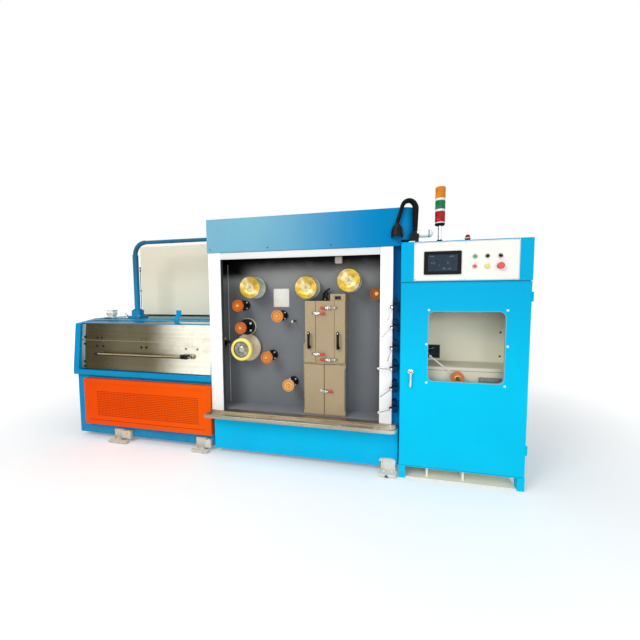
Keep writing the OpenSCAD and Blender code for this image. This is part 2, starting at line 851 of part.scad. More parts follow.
// steel lever on its pivot, at the angle it was left in
module valve_lever(i) {
    color([0.78, 0.78, 0.78]) translate([pivot_x, lever_y, valve_z - i * valve_p]) rotate([0, rest[i], 0]) {
        bar_y(0, 0, 32, 0, 4);
        bar_y(0, -2, 8, 0, lever_w / 2 + 2);
        bx(-lever_w / 2, lever_w / 2, 0, 5, -lever_l, 0);
        bar_y(0, 0, 5, -lever_l, lever_w / 2);
    }
}

module valve_lever_1() {
    valve_lever(0);
}

module valve_lever_2() {
    valve_lever(1);
}

module valve_lever_3() {
    valve_lever(2);
}

module valve_lever_4() {
    valve_lever(3);
}

module valve_lever_5() {
    valve_lever(4);
}

module valve_lever_6() {
    valve_lever(5);
}

// gooseneck lamp standing on the spooler's roof
module work_lamp() {
    color([0.03, 0.03, 0.03]) {
        bx(lamp_x - 26, lamp_x + 34, lamp_y - 24, lamp_y + 10, spool_h, spool_h + 62);
        translate([lamp_x + 20, lamp_y, 0]) rotate([0, 0, arch_turn]) {
            translate([0, 0, spool_h + 60]) cylinder(h = arch_z - spool_h - 60, r = neck_r);
            translate([-arch_r, 0, arch_z]) rotate([90, 0, 0]) rotate_extrude(angle = 180)
                translate([arch_r, 0]) circle(neck_r);
            translate([-2 * arch_r, 0, bell_z + bell_h - 8])
                cylinder(h = arch_z - bell_z - bell_h + 8, r = neck_r);
            translate([-2 * arch_r, 0, bell_z]) lamp_bell();
        }
    }
}

module lamp_bell() {
    rotate_extrude() polygon([[38, 0], [42, 0], [40, 40], [32, 76], [18, 100], [0, bell_h], [0, 96],
        [14, 94], [28, 72], [36, 40]]);
}

// clear tube lying beside the lamp's base
module lamp_tube() {
    color([0.9, 0.9, 0.9]) {
        bar_x(lamp_x + 34, lamp_x + 115, lamp_y + 6, spool_h + 66, 27);
        translate([lamp_x + 115, lamp_y + 6, spool_h + 66]) sphere(27);
        bx(lamp_x + 34, lamp_x + 46, lamp_y - 14, lamp_y + 26, spool_h, spool_h + 60);
    }
}

// hollow spooler cabinet with legs and a fixed fascia
module spooler_shell() {
    color([0.02, 0.68, 0.93]) {
        difference() {
            bx(x_spool, x_end, y_shell, y_spool + spool_d, leg_h, spool_h);
            bx(x_spool + wall, x_end - wall, y_shell - 1, y_spool + spool_d - wall,
                leg_h + wall, spool_h - wall);
        }
        bx(x_spool, x_end, y_spool, y_shell, spool_h - fascia_h, spool_h);
        for (x = [x_spool, x_end - leg_w], y = [y_spool, y_spool + spool_d - leg_d]) {
            bx(x, x + leg_w, y, y + leg_d, 0, leg_h);
        }
        bx(x_spool, x_end, y_spool, y_shell + 12, leg_h - 6, leg_h);
        for (z = knuckle_z, s = [0, knuckle_h + 12]) {
            hinge_ear(z + s);
        }
        for (z = knuckle_z) translate([pin_x, pin_y, z]) cylinder(h = knuckle_h + 24, r = 3);
    }
}

module hinge_ear(z) {
    translate([pin_x, pin_y, z]) cylinder(h = 12, r = knuckle_r);
    bx(x_end, x_end + 4, pin_y, y_shell + 30, z, z + 12);
}

// cream pan and two ribs under the spooler
module spooler_base() {
    color([0.88, 0.85, 0.76]) {
        bx(x_spool + leg_w, x_end - leg_w, y_spool + 10, y_spool + spool_d - leg_d, 2, 8);
        for (x = [x_spool + 197, x_spool + 445]) {
            bx(x, x + 14, y_shell + 14, y_spool + spool_d - leg_d - 20, 8, leg_h);
        }
    }
}

// inner wall, ledge, square recess, dancer rod and grey block
module spooler_inside() {
    color([0.86, 0.84, 0.78]) {
        difference() {
            bx(x_spool + wall, x_end - wall, inner_back, inner_back + 20, leg_h + wall, spool_h - wall);
            bx(x_spool + 170, x_spool + 318, inner_back - 1, inner_back + 12, 840, 945);
        }
        difference() {
            bx(x_spool + wall, x_end - wall, ledge_y, inner_back, leg_h + wall, ledge_z);
            bar_y(inner_x, ledge_y - 1, ledge_y + 30, inner_z, shaft_r + shaft_gap);
        }
        bar_y(arm_x, ledge_y - 12, inner_back + 20, arm_z, 5);
        rod([arm_x, ledge_y - 8, arm_z], [inner_x, ledge_y - 8, inner_z] + 22 * arm_dir, 4);
        bx(x_spool + 585, x_spool + 745, ledge_y - 30, ledge_y, 672, 716);
    }
}

module spooler_pulley() {
    color([0.93, 0.55, 0.3]) translate([inner_x, ledge_y - 46, inner_z]) rotate([-90, 0, 0]) {
        rotate_extrude() polygon([[0, -3], [12, -3], [12, 4], [inner_r - 12, 4], [inner_r - 8, 0],
            [inner_r, 0], [inner_r - 8, 11], [inner_r, 22], [shaft_r + 5, 22], [shaft_r + 5, 28],
            [shaft_r, 28], [shaft_r, 70], [0, 70]]);
    }
}

// door with a window opening and two hinge barrels
module spooler_door() {
    color([0.02, 0.7, 0.95]) {
        difference() {
            bx(door_x0, door_x1, y_spool, y_spool + door_t, door_z0, door_z1);
            translate([0, y_spool + door_t + 1, 0]) rotate([90, 0, 0]) linear_extrude(door_t + 2)
                round_rect(x_spool + win_x, x_spool + win_x + win_w, win_z, win_z + win_h, win_r);
            bar_y(handle_x, y_spool - 1, y_spool + 20, handle_z, 7 + shaft_gap);
        }
        for (z = knuckle_z) difference() {
            union() {
                translate([pin_x, pin_y, z + 13]) cylinder(h = knuckle_h - 2, r = knuckle_r);
                bx(door_x1 - 2, pin_x - 2, pin_y - 3, pin_y + 3, z + 13, z + 11 + knuckle_h);
            }
            translate([pin_x, pin_y, z]) cylinder(h = knuckle_h + 24, r = 3 + shaft_gap);
        }
    }
}

module door_window() {
    color([0.8, 0.85, 0.85, 0.4]) plate_xz(x_spool + win_x - 12, x_spool + win_x + win_w + 12,
        win_z - 12, win_z + win_h + 12, win_r, y_spool + door_t, y_spool + door_t + 3);
}

// small lever on the door's left edge, hanging down
module door_handle() {
    color([0.7, 0.7, 0.7]) {
        bar_y(handle_x, y_spool - 24, y_spool + 18, handle_z, 7);
        bar_y(handle_x, y_spool - 12, y_spool - 4, handle_z, 14);
        bx(handle_x - 8, handle_x + 8, y_spool - 24, y_spool - 14, handle_z - 106, handle_z);
        bar_y(handle_x, y_spool - 24, y_spool - 14, handle_z - 106, 8);
    }
}

// off-white plate on the fascia
module control_panel() {
    color([0.9, 0.89, 0.86])
        bx(plate_x, plate_x + plate_w, y_spool - 3, y_spool, plate_z, plate_z + plate_h);
}

// touch panel: dark bezel with a shallow screen recess
module hmi_panel() {
    color([0.05, 0.05, 0.06]) difference() {
        bx(hmi_x, hmi_x + hmi_w, y_spool - 13, y_spool - 3, hmi_z, hmi_z + hmi_h);
        bx(hmi_x + 15, hmi_x + hmi_w - 15, y_spool - 14, y_spool - 11, hmi_z + 15, hmi_z + hmi_h - 15);
    }
}

// two rows of operators on the plate
module control_buttons() {
    col = [hmi_x + hmi_w + 84, hmi_x + hmi_w + 161, hmi_x + hmi_w + 241];
    low = hmi_z + 51;
    high = low + 67;
    color([0.1, 0.1, 0.1]) {
        for (x = col) bar_y(x, y_spool - 15, y_spool - 3, high, button_r);
        for (x = [col[0], col[1]]) bar_y(x, y_spool - 15, y_spool - 3, low, button_r);
        bar_y(col[2], y_spool - 22, y_spool - 3, low, button_r - 4);
        bar_y(col[2], y_spool - 34, y_spool - 22, low, button_r + 5);
        bx(col[2] - 4, col[2] + 4, y_spool - 26, y_spool - 15, high - 14, high + 14);
    }
}

// light tower on the roof: pole, base and three lenses between rings
module tower_light() {
    color([0.8, 0.8, 0.8]) translate([tower_x, tower_y, spool_h]) {
        cylinder(h = 6, r = 30);
        cylinder(h = 122, r = 14);
        translate([0, 0, 121]) cylinder(h = 20, r = tower_r);
        for (k = [0:2]) translate([0, 0, 141 + k * (lens_h + 16)]) {
            cylinder(h = 16, r = tower_r - 2);
            translate([0, 0, 16]) cylinder(h = lens_h, r = tower_r);
        }
        translate([0, 0, 141 + 3 * (lens_h + 16)]) cylinder(h = 12, r = tower_r - 4);
    }
}

// small round beacon on the roof's front edge
module roof_beacon() {
    color([0.35, 0.04, 0.04]) translate([x_spool + 444, y_spool + 60, spool_h]) {
        cylinder(h = 22, r = 20);
        translate([0, 0, 22]) cylinder(h = 24, r = 16);
    }
}

draw_casing();
draw_guard();
hood_cover();
hood_frame();
hood_handle();
conduit_pipe();
junction_box();
rear_cabinet();
rear_plinth();
floor_feet();
main_casing();
cavity_surround();
front_skirt();
top_header();
window_frame();
back_plate();
drip_tray();
annealer_body();
annealer_fittings();
annealer_clamps();
annealer_door_l();
annealer_door_r();
bearing_blocks();
wheel_flange();
cavity_plates();
cavity_brackets();
capstan_1();
capstan_2();
capstan_3();
tension_wheel();
pulley_1();
pulley_2();
pulley_3();
pulley_4();
pulley_5();
pulley_6();
valve_bank();
valve_lever_1();
valve_lever_2();
valve_lever_3();
valve_lever_4();
valve_lever_5();
valve_lever_6();
work_lamp();
lamp_tube();
spooler_shell();
spooler_base();
spooler_inside();
spooler_pulley();
spooler_door();
door_window();
door_handle();
control_panel();
hmi_panel();
control_buttons();
tower_light();
roof_beacon();
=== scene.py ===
# Wire drawing line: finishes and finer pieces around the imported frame.
# Sizes below are in millimetres unless a line says otherwise; meshes are written in metres.
import json
import math
import bpy
import bmesh
from mathutils import Matrix, Vector

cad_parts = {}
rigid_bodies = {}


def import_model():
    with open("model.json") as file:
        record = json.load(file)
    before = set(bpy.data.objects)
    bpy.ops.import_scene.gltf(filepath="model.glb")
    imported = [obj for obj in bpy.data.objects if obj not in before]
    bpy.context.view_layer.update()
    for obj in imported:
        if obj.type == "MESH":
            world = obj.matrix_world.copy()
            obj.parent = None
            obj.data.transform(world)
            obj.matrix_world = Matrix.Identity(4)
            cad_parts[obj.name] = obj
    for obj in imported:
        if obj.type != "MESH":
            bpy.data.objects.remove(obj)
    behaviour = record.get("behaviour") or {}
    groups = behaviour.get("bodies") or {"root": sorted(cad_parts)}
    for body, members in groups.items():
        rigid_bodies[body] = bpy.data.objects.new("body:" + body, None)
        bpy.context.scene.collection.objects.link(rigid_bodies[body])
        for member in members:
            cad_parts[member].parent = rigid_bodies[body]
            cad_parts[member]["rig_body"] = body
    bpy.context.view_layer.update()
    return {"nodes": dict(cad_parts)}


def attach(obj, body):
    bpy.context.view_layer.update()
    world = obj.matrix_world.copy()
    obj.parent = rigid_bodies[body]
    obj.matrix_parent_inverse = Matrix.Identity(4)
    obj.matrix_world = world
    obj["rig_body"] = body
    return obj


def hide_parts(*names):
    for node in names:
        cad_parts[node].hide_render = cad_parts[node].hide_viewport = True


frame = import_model()
MM = 0.001

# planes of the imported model
X_DRAW, X_MAIN, X_STRIP, X_SPOOL, X_END = -1935, -469, 1033, 1088, 1924
Y_MAIN, Y_BACK = -530, 655
MAIN_D, SPOOL_D = 1000, 900
Z_DECK = 1133
Z_LID = Z_DECK - 38
Y_BASE, Y_DECK, Y_DRAW, Y_GUARD = -500, -270, 160, -548
Y_HOOD, Y_FOLD, Y_LID, Z_FOLD = -503, -485, -467, 939
X_HOOD, X_HOOD_R = -1870, -482
Y_PLATE, Y_ANN, STRIP_Y = -290, -456, -480
CAV_X0, CAV_X1 = -425, 1003
TRAY_Z, HEAD_Z = 377, 1702
ANN_X, ANN_W = 337, 333
Y_SPOOL, Y_SHELL, SPOOL_H, LEG_H = -580, -551, 1717, 97
LEDGE_Y, INNER_BACK, LEDGE_Z = -476, -216, 820
CAPS = [(338, 1418), (822, 1413), (1166, 1465)]
PULS = [(215, 1265), (569, 1179), (237, 1075), (471, 830), (660, 602), (1380, 1360)]
WHEEL = (242, 891)
CAP_R, CAP_W, CAP_END = 91, 130, 163
PUL_R, PUL_W, PUL_END = 50, 22, 100
WHEEL_R, WHEEL_END, BIG_R = 101, 114, 70
Y_CAP, Y_PUL = Y_MAIN + 60, Y_MAIN + 90
HOOD_Z, ROD_Z, ROD_X, ROD_L = 668, 821, -1658, 898
PIPE_X, PIPE_Y, PIPE_Z = -1486, -200, 1882
HOOK_X = -1588
REAR_X0, REAR_X1, REAR_Y, REAR_H = -1798, -479, 210, 1917
ANN_FACE, ANN_TOP, BOW_Z = -468, 1336, 925
BOLT_Z, PLUG_Z = 886, 961
ARM_X, ARM_Z = X_SPOOL + 218, 898
INNER_X, INNER_Z, INNER_R = X_SPOOL + 403, 751, 46
REC_X0, REC_X1, REC_Z0, REC_Z1 = X_SPOOL + 170, X_SPOOL + 318, 840, 945
PANEL_X, PANEL_Z = X_SPOOL + 88, SPOOL_H - 271
VALVE_X, PIVOT_X, LEVER_Y, VALVE_Z, VALVE_STEP = 1055, 1027, -592, 1261, 150
LEVER_REST = [16, 45, 16, 90, 52, 72]
WIN_X, WIN_W, WIN_Z, WIN_H, WIN_R = 190, 498, 735, 497, 40
FRONT, BACK = Vector((0, -1, 0)), Vector((0, 1, 0))
UP, RIGHT, LEFT = Vector((0, 0, 1)), Vector((1, 0, 0)), Vector((-1, 0, 0))


# Materials

def lin(rgb):
    """A colour written as 0-255 screen values, as the shader wants it."""
    out = []
    for c in rgb:
        c = c / 255
        out.append(c / 12.92 if c <= 0.04045 else ((c + 0.055) / 1.055) ** 2.4)
    return tuple(out)


class Nodes:
    """A short way to write a material's nodes."""

    def __init__(self, name):
        self.mat = bpy.data.materials.new(name)
        self.mat.use_nodes = True
        self.tree = self.mat.node_tree
        self.bsdf = self.tree.nodes["Principled BSDF"]
        self.coord = self.new("ShaderNodeTexCoord").outputs["Object"]

    def new(self, kind, **props):
        n = self.tree.nodes.new(kind)
        for k, v in props.items():
            setattr(n, k, v)
        return n

    def put(self, sock, val):
        if isinstance(val, bpy.types.NodeSocket):
            self.tree.links.new(val, sock)
        elif isinstance(val, tuple) and len(val) == 3 and sock.type == "RGBA":
            sock.default_value = (*val, 1)
        else:
            sock.default_value = val

    def scaled(self, scale):
        n = self.new("ShaderNodeMapping")
        self.put(n.inputs["Vector"], self.coord)
        n.inputs["Scale"].default_value = scale
        return n.outputs[0]

    def noise(self, scale, detail=4, rough=0.5, vec=None, warp=0.0):
        n = self.new("ShaderNodeTexNoise")
        self.put(n.inputs["Vector"], vec or self.coord)
        n.inputs["Scale"].default_value = scale
        n.inputs["Detail"].default_value = detail
        n.inputs["Roughness"].default_value = rough
        n.inputs["Distortion"].default_value = warp
        return n.outputs[0]

    def span(self, val, a, b, lo, hi, smooth=False):
        n = self.new("ShaderNodeMapRange")
        n.interpolation_type = "SMOOTHSTEP" if smooth else "LINEAR"
        self.put(n.inputs["Value"], val)
        for i, v in zip((1, 2, 3, 4), (a, b, lo, hi)):
            n.inputs[i].default_value = v
        return n.outputs[0]

    def mix(self, fac, a, b, mode="MIX"):
        n = self.new("ShaderNodeMix", data_type="RGBA", blend_type=mode)
        self.put(n.inputs[0], fac)
        self.put(n.inputs[6], a)
        self.put(n.inputs[7], b)
        return n.outputs[2]

    def math(self, op, a, b=0.0):
        n = self.new("ShaderNodeMath", operation=op)
        self.put(n.inputs[0], a)
        self.put(n.inputs[1], b)
        return n.outputs[0]

    def axis(self, which):
        n = self.new("ShaderNodeSeparateXYZ")
        self.put(n.inputs[0], self.coord)
        return n.outputs["XYZ".index(which)]

    def bump(self, height, strength, distance=0.001, under=None):
        n = self.new("ShaderNodeBump")
        n.inputs["Strength"].default_value = strength
        n.inputs["Distance"].default_value = distance
        self.put(n.inputs["Height"], height)
        if under is not None:
            self.put(n.inputs["Normal"], under)
        return n.outputs[0]

    def set(self, **vals):
        names = dict(color="Base Color", rough="Roughness", metal="Metallic", normal="Normal", alpha="Alpha",
                     spec="Specular IOR Level", aniso="Anisotropic", tangent="Tangent")
        for k, v in vals.items():
            self.put(self.bsdf.inputs[names[k]], v)
        return self.mat


def shade(rgb, k):
    return tuple(min(1.0, c * k) for c in rgb)


DUST = (150, 140, 122)
ALL_X, ALL_Z = (9000, 9001), (-9001, -9000)


def paint(name, rgb, rough=0.36, spread=0.05, peel=0.12, dust=0.0, spec=0.3, tone_and_painted_light=(), painted_shade=()):
    """Sprayed enamel: faint patches, fine orange peel, dust low down and a few light rubs.

    A ramp blends to another colour along an axis, as a change of tone or as painted light and shade; each
    painted-shade entry darkens towards x0 along X and towards z1 along Z.
    """
    n = Nodes(name)
    base = lin(rgb)
    patch = n.span(n.noise(3.1, 5, 0.6), 0.3, 0.7, 0, 1)
    color = n.mix(patch, shade(base, 1 - spread), shade(base, 1 + spread))
    # ramps along an axis: changes of tone, and painted light and shade
    for along, a, b, other in tone_and_painted_light:
        color = n.mix(n.span(n.axis(along), a * MM, b * MM, 0, 1, True), color, lin(other))
    # painted shade: a darker colour over corners and bands where shade falls
    for x0, x1, z0, z1, dark in painted_shade:
        wave = n.math("MULTIPLY", n.noise(4, 4, 0.6), 0.08)
        near = n.math("MULTIPLY", n.span(n.math("ADD", n.axis("X"), wave), x0 * MM, x1 * MM, 1, 0, True),
                      n.span(n.math("ADD", n.axis("Z"), wave), z0 * MM, z1 * MM, 0, 1, True))
        color = n.mix(near, color, lin(dark))
    rub = n.span(n.noise(9, 8, 0.75, n.scaled((1, 1, 4)), 1.2), 0.63, 0.72, 0, 0.1)
    color = n.mix(rub, color, shade(tuple(0.75 * c + 0.25 for c in base), 0.9))
    if dust:
        low = n.math("MULTIPLY", n.span(n.axis("Z"), 0.0, 0.32, 1, 0),
                     n.span(n.noise(14, 6, 0.7), 0.35, 0.75, 0, dust))
        color = n.mix(low, color, lin(DUST))
    speck = n.span(n.noise(230, 2, 0.5), 0.72, 0.78, 0, 0.16)
    color = n.mix(speck, color, shade(base, 0.55))
    gloss = n.span(n.noise(17, 5, 0.6), 0.25, 0.75, rough - 0.07, rough + 0.09)
    skin = n.bump(n.noise(420, 2, 0.4), peel, 0.0006)
    skin = n.bump(n.noise(1.7, 2, 0.4), 0.10, 0.006, skin)
    return n.set(color=color, rough=gloss, normal=skin, spec=spec)


def brushed(name, dark, light, grain, rough, metal, tone_and_painted_light, scratch, stain):
    """Sheet steel with brush lines along one axis, stains and stray scratches, and lighter and darker colours
    along X as painted reflection.
    """
    n = Nodes(name)
    fine = n.noise(1.0, 3, 0.6, n.scaled(grain))
    coarse = n.noise(1.0, 4, 0.6, n.scaled(tuple(g * 0.22 for g in grain)))
    streak = n.math("ADD", n.math("MULTIPLY", fine, 0.5), n.math("MULTIPLY", coarse, 0.5))
    color = n.mix(n.span(streak, 0.36, 0.64, 0, 1), lin(dark), lin(light))
    # painted reflection: lighter and darker colours along X
    for a, b, reflection_tint in tone_and_painted_light:
        wave = n.math("ADD", n.axis("X"), n.math("MULTIPLY", n.noise(2.4, 3, 0.5), 0.2))
        wave = n.math("ADD", wave, n.math("MULTIPLY", n.axis("Z"), 0.1))
        color = n.mix(n.span(wave, a * MM, b * MM, 0, 1, True), color,
                      n.mix(n.span(streak, 0.4, 0.6, 0, 1), shade(lin(reflection_tint), 0.86), lin(reflection_tint)))
    spots = n.span(n.noise(5.5, 7, 0.7, None, 0.6), 0.52, 0.78, 0, stain)
    color = n.mix(spots, color, shade(lin(dark), 0.55))
    lines = n.span(n.noise(3.0, 2, 0.5, n.scaled((2.2, 2.2, 9.0)), 3.5), 0.497, 0.503, 0, 1)
    edge = n.math("MULTIPLY", lines, n.math("SUBTRACT", 1.0, lines))
    mark = n.math("MULTIPLY", n.math("MULTIPLY", edge, 4.0), n.span(n.noise(2.0, 2), 0.5, 0.62, 0, scratch))
    color = n.mix(mark, color, (0.86, 0.84, 0.78))
    gloss = n.span(streak, 0.3, 0.7, rough - 0.08, rough + 0.12)
    skin = n.bump(fine, 0.12, 0.0005)
    skin = n.bump(n.noise(2.1, 2, 0.5), 0.18, 0.004, skin)
    return n.set(color=color, rough=gloss, normal=skin, metal=metal)


def turned(name, rgb, rough=0.22, aniso=0.75, painted_sheen=0.0, worn=0.12, metal=1.0):
    """Metal turned on a lathe about its own Y axis: fine rings, wear, and light and dark wedges round the
    centre as painted sheen.
    """
    n = Nodes(name)
    base = lin(rgb)
    t = n.new("ShaderNodeTangent", direction_type="RADIAL", axis="Y")
    flat = n.new("ShaderNodeMapping")
    n.put(flat.inputs["Vector"], n.coord)
    flat.inputs["Rotation"].default_value = (math.radians(90), 0, 0)
    turn = n.new("ShaderNodeTexGradient", gradient_type="RADIAL")
    n.put(turn.inputs[0], flat.outputs[0])
    wear = n.span(n.noise(26, 6, 0.65), 0.3, 0.7, 0, 1)
    color = n.mix(wear, shade(base, 1 - worn / 2), shade(base, 1 + worn / 2))
    # painted sheen: light and dark wedges by angle round the axis
    if painted_sheen:
        sheen_fan = n.math("SINE", n.math("MULTIPLY", turn.outputs[1], 4 * math.pi))
        fine = n.math("SINE", n.math("MULTIPLY", turn.outputs[1], 14 * math.pi))
        sheen_fan = n.math("ADD", sheen_fan, n.math("MULTIPLY", fine, 0.5))
        color = n.mix(n.span(sheen_fan, -1.2, 0.1, painted_sheen, 0), color, shade(base, 0.5))
        color = n.mix(n.span(sheen_fan, 0.3, 1.3, 0, painted_sheen), color, tuple(0.35 * c + 0.62 for c in base))
    rings = n.new("ShaderNodeTexWave", wave_type="RINGS", rings_direction="Y")
    n.put(rings.inputs["Vector"], n.coord)
    rings.inputs["Scale"].default_value = 160
    rings.inputs["Distortion"].default_value = 0.6
    color = n.mix(n.math("MULTIPLY", rings.outputs[1], worn), color, shade(base, 0.7))
    gloss = n.span(n.noise(40, 4, 0.6), 0.3, 0.7, rough - 0.05, rough + 0.1)
    skin = n.bump(rings.outputs[1], 0.08, 0.0003)
    return n.set(color=color, rough=gloss, metal=metal, normal=skin, aniso=aniso, tangent=t.outputs[0])


def moulded(name, rgb, rough=0.4, spread=0.1, grain=0.1, **extra):
    """Moulded plastic: faint flow marks, a fine grained skin and handling shine."""
    n = Nodes(name)
    base = lin(rgb)
    color = n.mix(n.span(n.noise(31, 5, 0.6), 0.3, 0.7, 0, 1), shade(base, 1 - spread),
                  shade(base, 1 + spread))
    color = n.mix(n.span(n.noise(120, 3, 0.6), 0.66, 0.8, 0, 0.25), color,
                  tuple(0.75 * c + 0.2 for c in base))
    gloss = n.span(n.noise(55, 4, 0.6), 0.3, 0.7, rough - 0.08, rough + 0.1)
    return n.set(color=color, rough=gloss, normal=n.bump(n.noise(700, 2, 0.5), grain, 0.0004), **extra)


